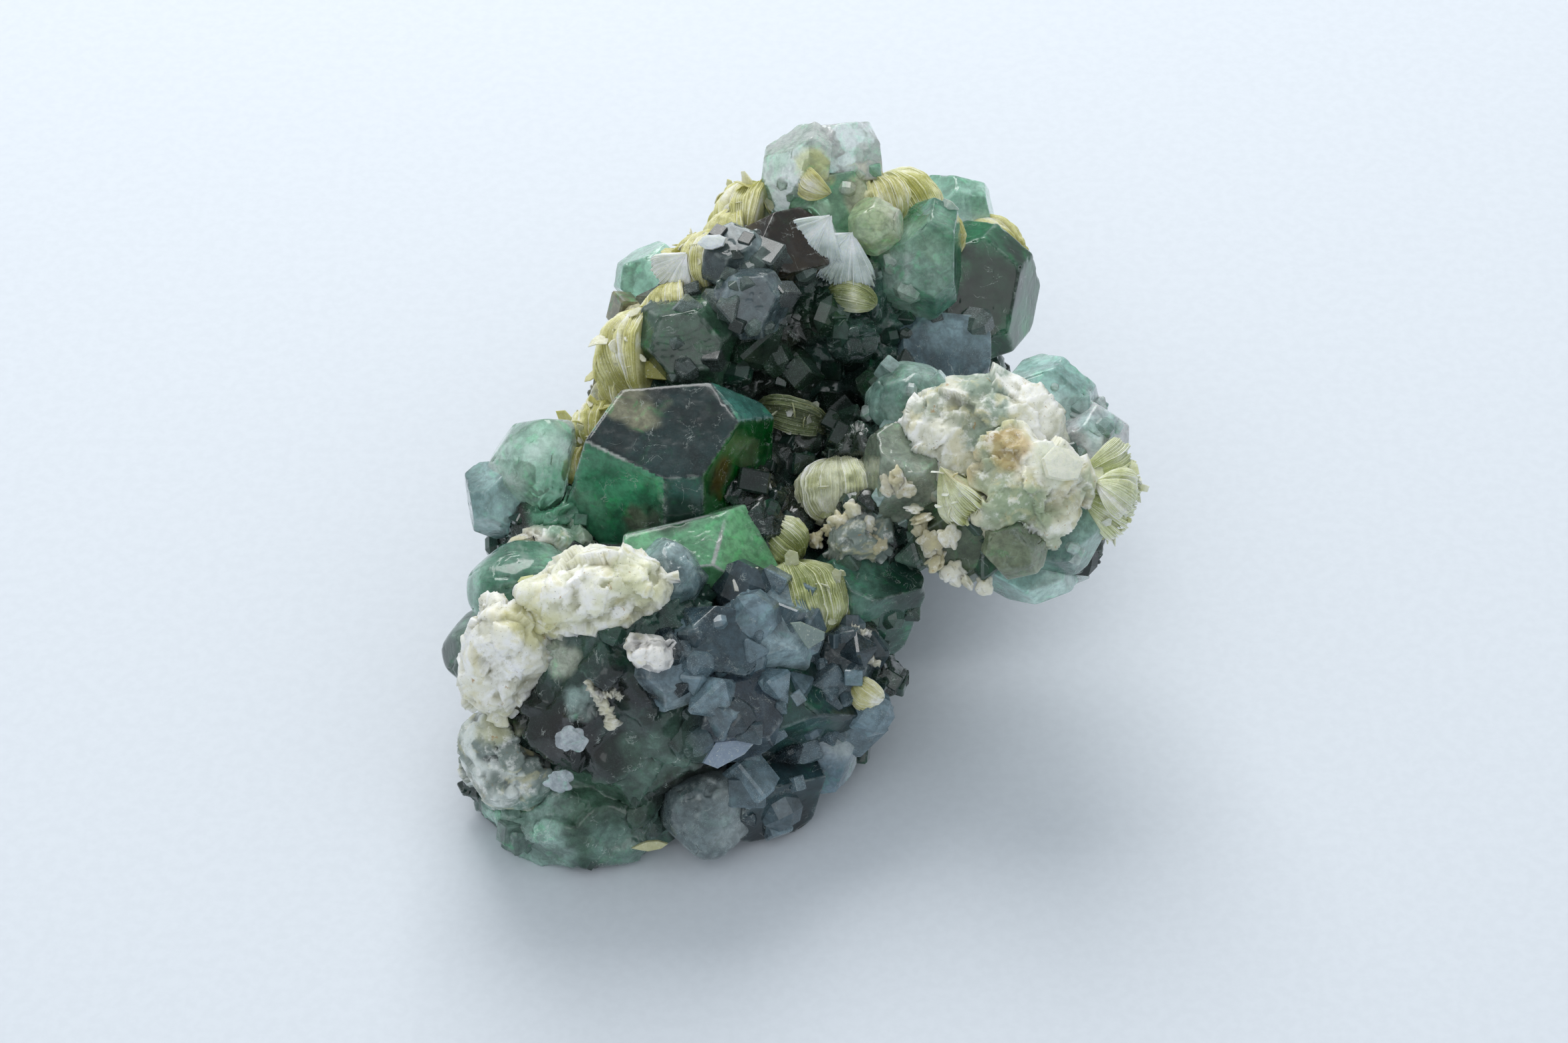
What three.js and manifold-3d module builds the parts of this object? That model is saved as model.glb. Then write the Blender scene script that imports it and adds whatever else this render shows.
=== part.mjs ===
// A fluorite specimen: green fluorite crystals and muscovite mica rosettes grown on a massive fluorite
// matrix, with crusts of feldspar and quartz. Millimetres, +Z up, resting on the matrix's broken base.
import * as THREE from "three";
import { ConvexGeometry } from "three/addons/geometries/ConvexGeometry.js";
import { mergeVertices } from "three/addons/utils/BufferGeometryUtils.js";
import Module from "manifold-3d";

// ---- driving dimensions -------------------------------------------------------------------------
const GROWTH_GAP = 0.3; // between two pieces that grew against each other
const BASE_HEIGHT = 0; // the plane that the matrix broke along, which it rests on
const BASE_CLEARANCE = 0.4; // how far above that plane every other piece stays
const UNEVEN_GROWTH = 0.1; // how much nearer or farther a facet may be than its family, as a share
const CORE_FACES = 20; // cleavage faces round a mass of the matrix
const CORE_RELIEF = 0.14; // how much deeper the deepest of them cuts, as a share
const CRUST_DETAIL = 2; // subdivisions of a crust's icosahedron
const SHEET_PLEAT = 0.1; // how far every other mica sheet falls short of its neighbours, as a share
const SHEET_STEP = 11; // degrees from one pleat of a rosette to the next
const RIM_STEPS = 7; // flats along the rim of a mica sheet
const SPREAD_TURN = 137.5; // degrees between directions that follow each other round a mass

// Distances of the face families from a crystal's centre, as shares of its size.
const HABITS = {
  octahedron: { octahedral: 1, cubic: 1.5 },
  blunt: { octahedral: 1, cubic: 1.16 },
  rounded: { octahedral: 1, cubic: 1.08, dodecahedral: 1.04 },
  cube: { octahedral: 1.42, cubic: 1 },
};

const COLORS = {
  matrix: 0x35524a,
  deep: 0x1f4a3a,
  emerald: 0x2f9a50,
  teal: 0x5f9488,
  pale: 0x9dc0ac,
  smoky: 0x5a6472,
  mica: 0xc2c36a,
  silver: 0xd8dcda,
  feldspar: 0xe9e4d6,
  tan: 0xcdbb9c,
};

const wasm = await Module();
wasm.setup();

// ---- shapes -------------------------------------------------------------------------------------
const radians = THREE.MathUtils.degToRad;

// Every plane of a face family, as all sign and order changes of one direction.
function family([a, b, c], distance) {
  const planes = new Map();
  for (const [x, y, z] of [[a, b, c], [b, c, a], [c, a, b]]) {
    for (const [sx, sy, sz] of [[1, 1, 1], [1, 1, -1], [1, -1, 1], [1, -1, -1]]) {
      for (const side of [1, -1]) {
        const normal = new THREE.Vector3(x * sx * side, y * sy * side, z * sz * side).normalize();
        const key = normal.toArray().map((value) => Math.round(value * 1000) + 0).join();
        planes.set(key, new THREE.Plane(normal, -distance));
      }
    }
  }
  return [...planes.values()];
}

// The corners where three planes meet inside all the others, as one convex body.
function bodyInside(planes) {
  const corners = [];
  const corner = new THREE.Vector3();
  const rows = new THREE.Matrix3();
  for (const [i, a] of planes.entries()) {
    for (const [j, b] of planes.slice(0, i).entries()) {
      for (const c of planes.slice(0, j)) {
        rows.set(...a.normal, ...b.normal, ...c.normal);
        if (Math.abs(rows.determinant()) < 1e-4) continue;
        corner.set(-a.constant, -b.constant, -c.constant).applyMatrix3(rows.invert());
        const inside = planes.every((plane) => plane.distanceToPoint(corner) < 1e-4);
        const isNew = corners.every((other) => other.distanceTo(corner) > 0.05);
        if (inside && isNew) corners.push(corner.clone());
      }
    }
  }
  return new ConvexGeometry(corners);
}

// A fluorite crystal of one of the HABITS, stretched along its own axes.
function habitCrystal({ size, habit, stretch, at }, grow) {
  const { octahedral, cubic, dodecahedral } = HABITS[habit];
  const planes = [
    ...family([1, 1, 1], size * octahedral),
    ...family([1, 0, 0], size * cubic),
    ...(dodecahedral ? family([1, 1, 0], size * dodecahedral) : []),
  ];
  for (const [i, plane] of planes.entries()) {
    plane.constant *= 1 + UNEVEN_GROWTH * Math.sin(2.4 * i + 5 * at[0]);
  }
  const geometry = bodyInside(planes);
  const factor = 1 + grow / (size * Math.min(...stretch));
  return geometry.scale(...stretch.map((value) => value * factor));
}

// A crystal given by its own facets: azimuth from +X towards +Y, elevation, distance from its centre.
function facetedCrystal({ facets }, grow) {
  return bodyInside(facets.map(([azimuth, elevation, distance]) => {
    const level = Math.cos(radians(elevation));
    const normal = new THREE.Vector3(
      level * Math.cos(radians(azimuth)),
      level * Math.sin(radians(azimuth)),
      Math.sin(radians(elevation)),
    );
    return new THREE.Plane(normal, -(distance + grow));
  }));
}

// A mica rosette: half-disc sheets that share a root along Z and fan out about it, as far to one side
// of +X as to the other. The clearance round it is the plain wedge that the sheets fill.
function rosette({ reach, root, fan }, grow) {
  const steps = 2 * Math.round(fan / SHEET_STEP / 2);
  const rings = [];
  for (let i = 0; i <= steps; i++) {
    const turn = radians(fan) * (i / steps - 0.5);
    const short = i % 2 && !grow ? 1 - SHEET_PLEAT : 1;
    const side = grow * Math.sign(i - steps / 2);
    rings.push(Array.from({ length: RIM_STEPS + 1 }, (_, j) => {
      const along = Math.PI * (j / RIM_STEPS - 0.5);
      const out = (reach * short + grow) * Math.cos(along);
      return new THREE.Vector3(
        out * Math.cos(turn) - grow,
        out * Math.sin(turn) + side,
        (root + grow) * Math.sin(along),
      );
    }));
  }
  if (grow) return new ConvexGeometry(rings.filter((_, i) => i % 2 === 0).flat());
  const sheets = rings.slice(1).flatMap((ring, i) => ring.slice(1).flatMap((corner, j) => [
    rings[i][j], ring[j], corner,
    rings[i][j], corner, rings[i][j + 1],
  ]));
  const ends = rings[0].slice(2).flatMap((corner, j) => [
    rings[0][0], rings[0][j + 1], corner,
    rings[steps][0], rings[steps][j + 2], rings[steps][j + 1],
  ]);
  return new THREE.BufferGeometry().setFromPoints([...sheets, ...ends]);
}

// One of count directions spread evenly over all sides.
function spreadDirection(i, count, seed) {
  const height = 1 - (2 * i + 1) / count;
  const azimuth = radians(SPREAD_TURN * i + 40 * seed);
  const level = Math.sqrt(1 - height * height);
  return new THREE.Vector3(level * Math.cos(azimuth), level * Math.sin(azimuth), height);
}

// Massive fluorite, cleaved on all sides close to an ellipsoid.
function cleavedMass({ radii, seed }) {
  return bodyInside(Array.from({ length: CORE_FACES }, (_, i) => {
    const normal = spreadDirection(i, CORE_FACES, seed);
    const support = normal.clone().multiply(new THREE.Vector3(...radii)).length();
    const depth = CORE_RELIEF * (0.5 + 0.5 * Math.sin(2.4 * i + 3 * seed));
    return new THREE.Plane(normal, -support * (1 - depth));
  }));
}

// A smooth wave between -1 and 1 over space, different for each seed.
function wave({ x, y, z }, seed) {
  return (Math.sin(1.7 * x + 1.3 * seed + 1.9 * Math.sin(1.1 * y + seed))
    + Math.sin(2.1 * y - 0.7 * seed + 1.6 * Math.sin(1.3 * z - seed))
    + Math.sin(1.9 * z + 2.1 * seed + 1.7 * Math.sin(1.5 * x + 0.4 * seed))) / 3;
}

// A rough rounded lump.
function lump({ radii, rough, seed, detail }, grow) {
  const geometry = new THREE.IcosahedronGeometry(1, detail);
  const position = geometry.getAttribute("position");
  const point = new THREE.Vector3();
  for (let i = 0; i < position.count; i++) {
    point.fromBufferAttribute(position, i);
    const broad = wave(point.clone().multiplyScalar(1.6), seed);
    const fine = wave(point.clone().multiplyScalar(4), seed + 3);
    point.multiplyScalar(1 + rough * broad + 0.5 * rough * fine);
    position.setXYZ(i, ...point.toArray().map((value, axis) => value * (radii[axis] + grow)));
  }
  return geometry;
}

const SHAPES = {
  crystal: habitCrystal,
  faceted: facetedCrystal,
  cubelet: ({ size }) => new THREE.BoxGeometry(2 * size, 2 * size, 2 * size),
  octahedron: ({ size }) => new THREE.OctahedronGeometry(1.5 * size),
  cleaved: cleavedMass,
  rosette,
  lump,
};

// ---- placing and cutting ------------------------------------------------------------------------
// Where a piece is: turned about X, then Y, then Z, in degrees, and moved to its point.
function placeOf({ at, turn = [0, 0, 0] }) {
  const rotation = new THREE.Euler(...turn.map(radians), "ZYX");
  return new THREE.Matrix4().makeRotationFromEuler(rotation).setPosition(...at);
}

function solidOf(geometry) {
  const bare = new THREE.BufferGeometry();
  bare.setAttribute("position", geometry.getAttribute("position"));
  bare.setIndex(geometry.index);
  const merged = mergeVertices(bare, 1e-4);
  return new wasm.Manifold(new wasm.Mesh({
    numProp: 3,
    vertProperties: new Float32Array(merged.getAttribute("position").array),
    triVerts: new Uint32Array(merged.index.array),
  }));
}

function geometryOf(solid) {
  const { vertProperties, triVerts } = solid.getMesh();
  const geometry = new THREE.BufferGeometry();
  geometry.setAttribute("position", new THREE.BufferAttribute(vertProperties, 3));
  geometry.setIndex(new THREE.BufferAttribute(triVerts, 1));
  return geometry;
}

// A piece where it grew; with growth, the room that it takes up.
function placedSolid(piece, grow = 0) {
  return solidOf(SHAPES[piece.shape](piece, grow).applyMatrix4(placeOf(piece)));
}

// What is left of a later piece once the room of the earlier ones is taken out of it.
function cutBy(solid, rooms) {
  const left = rooms.reduce((rest, room) => rest.subtract(room), solid);
  return left.decompose().reduce((best, body) => (body.volume() > best.volume() ? body : best));
}

function meshOf({ name, color, roughness, ...piece }, solid) {
  const place = placeOf(piece);
  const geometry = geometryOf(solid).applyMatrix4(place.clone().invert());
  const look = { color: COLORS[color], roughness, metalness: 0, flatShading: true };
  const mesh = new THREE.Mesh(geometry, new THREE.MeshStandardMaterial(look));
  mesh.name = name;
  place.decompose(mesh.position, mesh.quaternion, mesh.scale);
  return mesh;
}

// ---- mica rosettes ------------------------------------------------------------------------------
// root is half the length that the sheets share, reach how far they stand out from it, fan their
// spread; the turns are the root's spin, the opening's elevation (negated) and its azimuth.
const MICA = [
  ["front_mica_rosette", [0.8, 21.6, 17.6], [0, -50, 290], 6.0, 4.2, 124],
  ["saddle_mica_rosette", [5.6, 32.4, 21.6], [30, -50, 240], 5.2, 3.4, 116],
  ["cavity_mica_leaf", [0.9, 40.4, 23.6], [80, -50, 262], 3.6, 3.6, 60],
  ["arm_mica_tassel", [26.4, 30.0, 24.8], [45, -5, -12], 6.4, 3.0, 104],
  ["arm_mica_fan", [15.6, 27.6, 29.0], [45, 20, 285], 5.2, 2.4, 60],
  ["flank_mica_low", [-16.2, 37.0, 24.2], [80, -25, 170], 4.2, 3.0, 110],
  ["flank_mica_middle", [-11.6, 42.6, 28.6], [70, -20, 175], 6.2, 4.8, 100],
  ["flank_mica_high", [-6.0, 51.2, 32.8], [50, -15, 190], 4.8, 3.6, 110],
  ["ridge_mica", [-1.8, 56.4, 33.4], [70, -30, 175], 5.2, 4.2, 110],
  ["crown_mica", [11.2, 60.4, 31.6], [20, -50, 280], 5.2, 4.2, 124],
  ["silver_mica_fan", [6.2, 52.6, 36.0], [-30, 37, 232], 5.4, 1.6, 120, "silver"],
  ["back_mica", [20.2, 65.6, 21.0], [80, -50, 70], 4.8, 3.8, 110],
].map(([name, at, turn, reach, root, fan, color = "mica"]) => (
  { name, at, turn, reach, root, fan, color, shape: "rosette", roughness: 0.5 }
));

// ---- fluorite crystals --------------------------------------------------------------------------
// The two great crystals at the front, each by its own facets.
const FACETED = [
  {
    name: "emerald_octahedron",
    at: [-7.8, 23.5, 21.5],
    color: "emerald",
    facets: [
      [255, 78, 4.4],
      [335, 44, 4.7],
      [110, 50, 4.0],
      [275, 0, 4.1],
      [40, 0, 5.0],
      [175, -10, 5.6],
      [0, -90, 6.0],
      [90, -30, 5.0],
    ],
  },
  {
    name: "great_dark_crystal",
    at: [-11, 31, 24],
    color: "deep",
    facets: [
      [270, 76, 6.9],
      [243, 14, 5.8],
      [274, 15, 6.5],
      [328, 9, 6.4],
      [17, 51, 9.9],
      [96, 12, 5.8],
      [152, 10, 6.5],
      [50, -20, 8],
      [200, -30, 9],
      [300, -45, 10],
      [0, -90, 8],
    ],
  },
].map((piece) => ({ shape: "faceted", roughness: 0.2, ...piece }));

// The others: name, place, turn, size, habit, colour and stretch.
const CRYSTALS = [
  ["shoulder_crystal", [-8.8, 44.2, 30.4], [20, 35, 20], 4.2, "blunt", "deep"],
  ["brown_crystal", [0.0, 51.6, 34.6], [30, 10, 30], 2.9, "cube", "deep"],
  ["lilac_crystal", [-3.2, 44.4, 34.4], [15, 40, 10], 2.7, "blunt", "smoky"],
  ["grey_ridge_crystal", [-4.4, 49.4, 35.0], [40, 20, 50], 2.8, "blunt", "smoky"],
  ["peak_crystal", [1.4, 59.4, 38.4], [15, 30, 40], 2.8, "blunt", "pale", [1, 1, 1.3]],
  ["peak_side_crystal", [5.9, 61.2, 38.4], [50, 10, 20], 2.5, "cube", "pale"],
  ["peak_root_crystal", [4.4, 57.0, 35.0], [10, 50, 30], 3.3, "blunt", "pale"],
  ["mica_button_crystal", [8.6, 53.4, 36.4], [10, 20, 30], 2.0, "blunt", "pale"],
  ["clear_crystal", [12.8, 53.4, 31.6], [10, 20, 35], 3.8, "blunt", "pale", [0.9, 1, 1.35]],
  ["back_great_crystal", [18.2, 61.0, 20.6], [10, 30, 20], 5.6, "blunt", "deep"],
  ["back_green_crystal", [17.0, 70.0, 23.2], [20, 10, 50], 3.4, "blunt", "emerald"],
  ["purple_crystal", [14.0, 49.6, 22.2], [35, 15, 10], 4.1, "cube", "smoky"],
  ["left_back_crystal", [-12.6, 57.4, 26.2], [10, 20, 10], 2.8, "blunt", "teal"],
  ["left_pale_crystal", [-23.4, 33.2, 24.2], [10, 30, 30], 3.6, "rounded", "pale", [0.9, 1, 1.3]],
  ["left_grey_crystal", [-26.6, 31.6, 21.8], [20, 30, 60], 2.7, "blunt", "teal"],
  ["front_dome_crystal", [-23.6, 20.5, 20.8], [30, 20, 15], 4.3, "rounded", "teal", [1.15, 1, 0.9]],
  ["front_side_crystal", [-27.4, 19.6, 13.8], [15, 20, 20], 3.6, "rounded", "deep"],
  ["grey_ball_crystal", [-10.2, 19.2, 24.2], [10, 10, 20], 2.7, "rounded", "smoky"],
  ["frosted_crystal", [-2.0, 17.4, 18.8], [20, 25, 20], 3.4, "cube", "smoky"],
  ["blue_prism", [-6.4, 14.4, 19.8], [35, 20, 10], 2.8, "cube", "smoky", [1, 1, 1.3]],
  ["blue_white_crystal", [-10.2, 11.4, 20.2], [10, 40, 30], 2.7, "blunt", "smoky"],
  ["violet_crystal", [-5.6, 10.8, 15.2], [25, 30, 20], 3.6, "cube", "smoky"],
  ["right_dark_crystal", [1.0, 15.0, 12.0], [20, 30, 30], 4.0, "cube", "deep"],
  ["bottom_disc_crystal", [-7.2, 8.4, 4.8], [20, 15, 10], 3.9, "rounded", "smoky"],
  ["lower_block_crystal", [-1.6, 11.4, 4.8], [5, 10, 25], 3.7, "cube", "deep"],
  ["glass_wedge_crystal", [3.4, 13.4, 6.2], [20, 40, 20], 2.4, "octahedron", "pale"],
  ["round_dark_crystal", [5.6, 17.6, 14.8], [10, 20, 10], 2.3, "blunt", "smoky"],
  ["curved_glass_crystal", [6.0, 16.2, 10.8], [30, 10, 30], 2.4, "blunt", "teal", [0.9, 1, 1.3]],
  ["right_wall_crystal", [7.4, 24.8, 15.4], [10, 10, 30], 4.3, "cube", "deep", [0.8, 0.9, 1.2]],
  ["arm_back_crystal", [11.6, 38.2, 27.6], [20, 20, 10], 3.5, "rounded", "teal"],
  ["arm_top_crystal", [24.8, 39.0, 26.8], [10, 30, 20], 3.5, "blunt", "teal"],
  ["arm_right_crystal", [28.0, 35.0, 25.4], [20, 10, 20], 3.1, "blunt", "teal"],
  ["arm_clear_crystal", [21.0, 22.4, 24.6], [20, 20, 10], 2.2, "blunt", "pale"],
  ["arm_bottom_crystal", [22.0, 27.8, 18.6], [10, 30, 30], 4.3, "blunt", "teal", [1.3, 1, 0.85]],
  ["arm_dark_crystal", [15.8, 25.8, 22.2], [20, 10, 30], 3.4, "blunt", "deep"],
  ["arm_side_crystal", [25.0, 26.6, 22.6], [30, 30, 10], 3.2, "blunt", "deep"],
  ["arm_prism", [10.6, 30.0, 25.6], [5, 10, 10], 3.1, "cube", "teal", [0.9, 0.9, 1.25]],
].map(([name, at, turn, size, habit, color, stretch = [1, 1, 1]]) => (
  { name, at, turn, size, habit, color, stretch, shape: "crystal", roughness: 0.2 }
));

// ---- crusts of feldspar and quartz --------------------------------------------------------------
const CRUSTS = [
  ["front_crust_wall", [-25.2, 12.6, 20], [0, 0, 20], [3.6, 3.6, 6.8], 0.22, 2],
  ["front_crust_ridge", [-17.0, 15, 26.4], [0, -18, 5], [6.8, 3.4, 3.4], 0.2, 5],
  ["speckled_crust", [-25.2, 10.2, 8.4], [0, 0, 30], [3.8, 4.4, 5.6], 0.2, 8, CRUST_DETAIL, "tan"],
  ["feldspar_chip", [-12, 9.8, 24.2], [20, 30, 20], [2.6, 1.6, 1.5], 0.2, 4, 1],
  ["left_tan_crust", [-21.4, 25.0, 21.4], [0, 20, 30], [4.6, 2.4, 2.4], 0.2, 6, 1, "tan"],
  ["saddle_crust", [7.0, 26.6, 22.0], [0, -30, 30], [3.4, 2.4, 2.8], 0.2, 7, 1],
  ["arm_crust_face", [18.0, 32.0, 28.6], [-45, 8, 0], [7.8, 3.8, 6.2], 0.14, 9],
  ["arm_feldspar", [22.2, 25.8, 28.2], [-45, 20, 0], [5.4, 3.2, 5.6], 0.2, 3],
].map(([name, at, turn, radii, rough, seed, detail = CRUST_DETAIL, color = "feldspar"]) => (
  { name, at, turn, radii, rough, seed, detail, color, shape: "lump", roughness: 0.8 }
));

// ---- massive fluorite that everything grew on ---------------------------------------------------
// Each mass carries a druse: small crystals, spaced evenly over it and grown into one with it.
const MASSES = [
  { at: [-14.5, 16.5, 12.5], radii: [12.4, 10.4, 12.8], seed: 1, druse: 7 },
  { at: [-18.8, 13.6, 3.2], radii: [10.7, 9.2, 5], seed: 8, druse: 3 },
  { at: [-9, 33, 12], radii: [13.5, 13, 14.5], seed: 2, druse: 7 },
  { at: [3, 55, 15.5], radii: [15, 13, 18], seed: 3, druse: 16 },
  { at: [13, 62, 15], radii: [8, 8, 11], seed: 10, druse: 4 },
  { at: [-20, 29, 17.5], radii: [6.5, 6.5, 6.5], seed: 4, druse: 3 },
  { at: [-8.5, 46, 20.5], radii: [8.5, 9, 11.5], seed: 9, druse: 4 },
  { at: [2, 22, 8.6], radii: [6.2, 9, 9.4], seed: 5, druse: 5 },
  { at: [9.5, 30, 21], radii: [5.5, 4.5, 4.5], seed: 6, druse: 3 },
  { at: [20, 30.5, 23], radii: [8, 6.5, 7], seed: 7, druse: 5 },
].map((piece) => ({ shape: "cleaved", ...piece }));

// The open vug between the great dark crystal, the peak and the arm, lined with a druse of its own.
const VUG = { shape: "cleaved", at: [6, 40.5, 27], radii: [8.5, 6, 9], seed: 12, druse: 14 };

function druseOn({ at, radii, seed, druse }) {
  return Array.from({ length: druse }, (_, i) => {
    const direction = spreadDirection(i, druse, seed).toArray();
    return {
      shape: i % 3 ? "cubelet" : "octahedron",
      at: at.map((value, axis) => value + 0.93 * radii[axis] * direction[axis]),
      turn: [37 * i + seed, 53 * i, 71 * i],
      size: 2 + 0.8 * Math.sin(2.4 * i + seed),
    };
  });
}

function matrixSolid() {
  const massive = MASSES.map((mass) => placedSolid(mass)).reduce((sum, mass) => sum.add(mass));
  const open = massive.subtract(placedSolid(VUG));
  const druse = [...MASSES, VUG].flatMap(druseOn).map((crystal) => placedSolid(crystal));
  return druse.reduce((sum, crystal) => sum.add(crystal), open).trimByPlane([0, 0, 1], BASE_HEIGHT);
}

// ---- the specimen -------------------------------------------------------------------------------
const specimen = new THREE.Group();
const rooms = [];
for (const piece of [...MICA, ...FACETED, ...CRYSTALS, ...CRUSTS]) {
  const above = placedSolid(piece).trimByPlane([0, 0, 1], BASE_HEIGHT + BASE_CLEARANCE);
  specimen.add(meshOf(piece, cutBy(above, rooms)));
  rooms.push(placedSolid(piece, GROWTH_GAP));
}
const matrix = { name: "fluorite_matrix", at: [0, 0, 0], color: "matrix", roughness: 0.5 };
specimen.add(meshOf(matrix, cutBy(matrixSolid(), rooms)));

// The origin is under the middle of the whole specimen, on the surface that it rests on.
const box = new THREE.Box3().setFromObject(specimen, true);
const middle = box.getCenter(new THREE.Vector3());
specimen.position.set(-middle.x, -middle.y, -box.min.z);

const part = new THREE.Group();
part.add(specimen);
export default part;
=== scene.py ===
"""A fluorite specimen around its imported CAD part. Shapes are in millimetres until they are meshes."""

import math

import bmesh
import bpy
import numpy as np
from mathutils import Matrix, Vector
from mathutils.bvhtree import BVHTree
from numpy.linalg import norm


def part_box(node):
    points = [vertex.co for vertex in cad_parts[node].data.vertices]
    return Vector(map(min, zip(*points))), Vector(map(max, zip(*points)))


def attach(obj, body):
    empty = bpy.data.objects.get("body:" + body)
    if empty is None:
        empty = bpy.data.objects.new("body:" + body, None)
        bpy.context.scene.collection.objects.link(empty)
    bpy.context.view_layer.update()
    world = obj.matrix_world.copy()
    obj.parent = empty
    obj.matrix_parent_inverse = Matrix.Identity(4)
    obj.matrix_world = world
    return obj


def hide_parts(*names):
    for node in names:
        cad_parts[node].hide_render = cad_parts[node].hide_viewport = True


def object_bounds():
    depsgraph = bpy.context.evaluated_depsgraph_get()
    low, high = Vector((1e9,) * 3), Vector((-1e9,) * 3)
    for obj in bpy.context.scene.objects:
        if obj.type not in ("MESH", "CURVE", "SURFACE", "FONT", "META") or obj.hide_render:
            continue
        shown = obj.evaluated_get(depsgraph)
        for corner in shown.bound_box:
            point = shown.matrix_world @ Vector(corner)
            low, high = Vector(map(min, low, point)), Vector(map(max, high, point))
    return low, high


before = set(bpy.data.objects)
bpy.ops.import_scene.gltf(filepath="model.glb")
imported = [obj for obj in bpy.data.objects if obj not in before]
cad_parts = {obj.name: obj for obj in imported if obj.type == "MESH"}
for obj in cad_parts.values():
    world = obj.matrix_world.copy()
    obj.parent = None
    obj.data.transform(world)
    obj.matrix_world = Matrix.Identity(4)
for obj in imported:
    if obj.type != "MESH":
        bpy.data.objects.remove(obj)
cad_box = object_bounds()
SCENE = bpy.context.scene

MM = 0.001
# How far part.mjs moves the specimen, to put the frame's origin under its middle.
SHIFT = np.array([-0.508, -38.975, 0.0])
FLOOR_CLEARANCE = 0.05


def here(place):
    """A place in part.mjs's own millimetres, in the frame's."""
    return np.array(place, float) + SHIFT


# ---- noise over space ----
def lattice(cell, seed):
    """A fixed random number from 0 to 1 for each whole-number cell."""
    x, y, z = (cell[:, axis].astype(np.int64) for axis in range(3))
    value = (x * 73856093) ^ (y * 19349663) ^ (z * 83492791) ^ (seed * 2654435761)
    for shift, factor in ((13, 1274126177), (15, 2246822519), (13, 668265263)):
        value = (value ^ (value >> shift)) & 0xFFFFFFFF
        value = (value * factor) & 0xFFFFFFFF
    return ((value ^ (value >> 16)) & 0xFFFFFF) / 0xFFFFFF


def noise(points, scale, seed=0):
    """Smooth noise from -1 to 1, with scale bumps to the millimetre."""
    spot = points * scale
    base = np.floor(spot)
    part = spot - base
    part = part * part * (3 - 2 * part)
    total = np.zeros(len(points))
    for corner in np.ndindex(2, 2, 2):
        weight = np.prod(np.where(corner, part, 1 - part), axis=1)
        total += weight * lattice(base + np.array(corner), seed)
    return 2 * total - 1


def fbm(points, scale, octaves=3, seed=0):
    """Layers of noise, each twice as fine and half as strong as the one before."""
    return sum(noise(points, scale * 2**k, seed + 31 * k) * 0.5**k for k in range(octaves))


def chunks(points, scale, seed=0):
    """Flat tilted facets round scattered sites: heights, and a number from 0 to 1 for each."""
    spot = points * scale
    base = np.floor(spot)
    near = np.full(len(points), 9.0)
    ident = np.zeros(len(points))
    offset = np.zeros((len(points), 3))
    for corner in np.ndindex(3, 3, 3):
        cell = base + np.array(corner) - 1
        site = cell + np.stack([lattice(cell, seed + k) for k in (1, 2, 3)], 1)
        apart = spot - site
        distance = np.sqrt((apart**2).sum(1))
        closer = distance < near
        near = np.where(closer, distance, near)
        ident = np.where(closer, lattice(cell, seed), ident)
        offset = np.where(closer[:, None], apart, offset)
    turn = ident * 40 * math.pi
    rise = (ident * 7.3) % 1 * 2 - 1
    level = np.sqrt(1 - rise * rise)
    tilt = np.stack([level * np.cos(turn), level * np.sin(turn), rise], 1)
    return (offset / scale * tilt).sum(1) + (ident - 0.5) * 0.5 / scale, ident


def smooth(value, low, high):
    """0 below low, 1 above high, and smooth between them."""
    share = np.clip((value - low) / (high - low), 0, 1)
    return share * share * (3 - 2 * share)


def blend(a, b, share):
    """Colours or numbers mixed from a to b by a share for each point."""
    share = np.asarray(share)
    coloured = np.shape(a)[-1:] == (3,) or np.shape(b)[-1:] == (3,)
    return a + (b - a) * (share[..., None] if coloured else share)


# ---- colours ----
def rgb(text):
    """A linear colour from six sRGB hex digits."""
    values = [int(text[k:k + 2], 16) / 255 for k in (0, 2, 4)]
    return np.array([v / 12.92 if v < 0.04045 else ((v + 0.055) / 1.055) ** 2.4 for v in values])


# ---- meshes ----
def add_piece(name, points, faces, look, node=None, flat=False, **attributes):
    """A mesh piece with one of LOOKS that rides on the specimen, from points in millimetres."""
    material, slot = LOOKS[look]
    mesh = bpy.data.meshes.new(name)
    sides = faces.shape[1]
    mesh.vertices.add(len(points))
    mesh.vertices.foreach_set("co", (points * MM).astype(np.float32).ravel())
    mesh.loops.add(faces.size)
    mesh.loops.foreach_set("vertex_index", faces.astype(np.int32).ravel())
    mesh.polygons.add(len(faces))
    mesh.polygons.foreach_set("loop_start", np.arange(0, faces.size, sides, dtype=np.int32))
    mesh.update(calc_edges=True)
    mesh.polygons.foreach_set("use_smooth", np.full(len(faces), not flat))
    for key, value in attributes.items():
        if value.ndim == 2:
            layer = mesh.color_attributes.new(key, "FLOAT_COLOR", "POINT")
            colour = np.concatenate([np.clip(value, 0, 1), np.ones((len(points), 1))], 1)
            layer.data.foreach_set("color", colour.astype(np.float32).ravel())
        else:
            layer = mesh.attributes.new(key, "FLOAT", "POINT")
            layer.data.foreach_set("value", value.astype(np.float32))
    mesh.materials.append(material)
    piece = bpy.data.objects.new(name, mesh)
    SCENE.collection.objects.link(piece)
    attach(piece, "root")
    if node:
        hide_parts(node)


def values(items, key, width=1, kind=float):
    """One property of all the vertices, faces or triangles of a mesh."""
    flat = np.zeros(len(items) * width, kind)
    items.foreach_get(key, flat)
    return flat.reshape(-1, width) if width > 1 else flat


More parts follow.
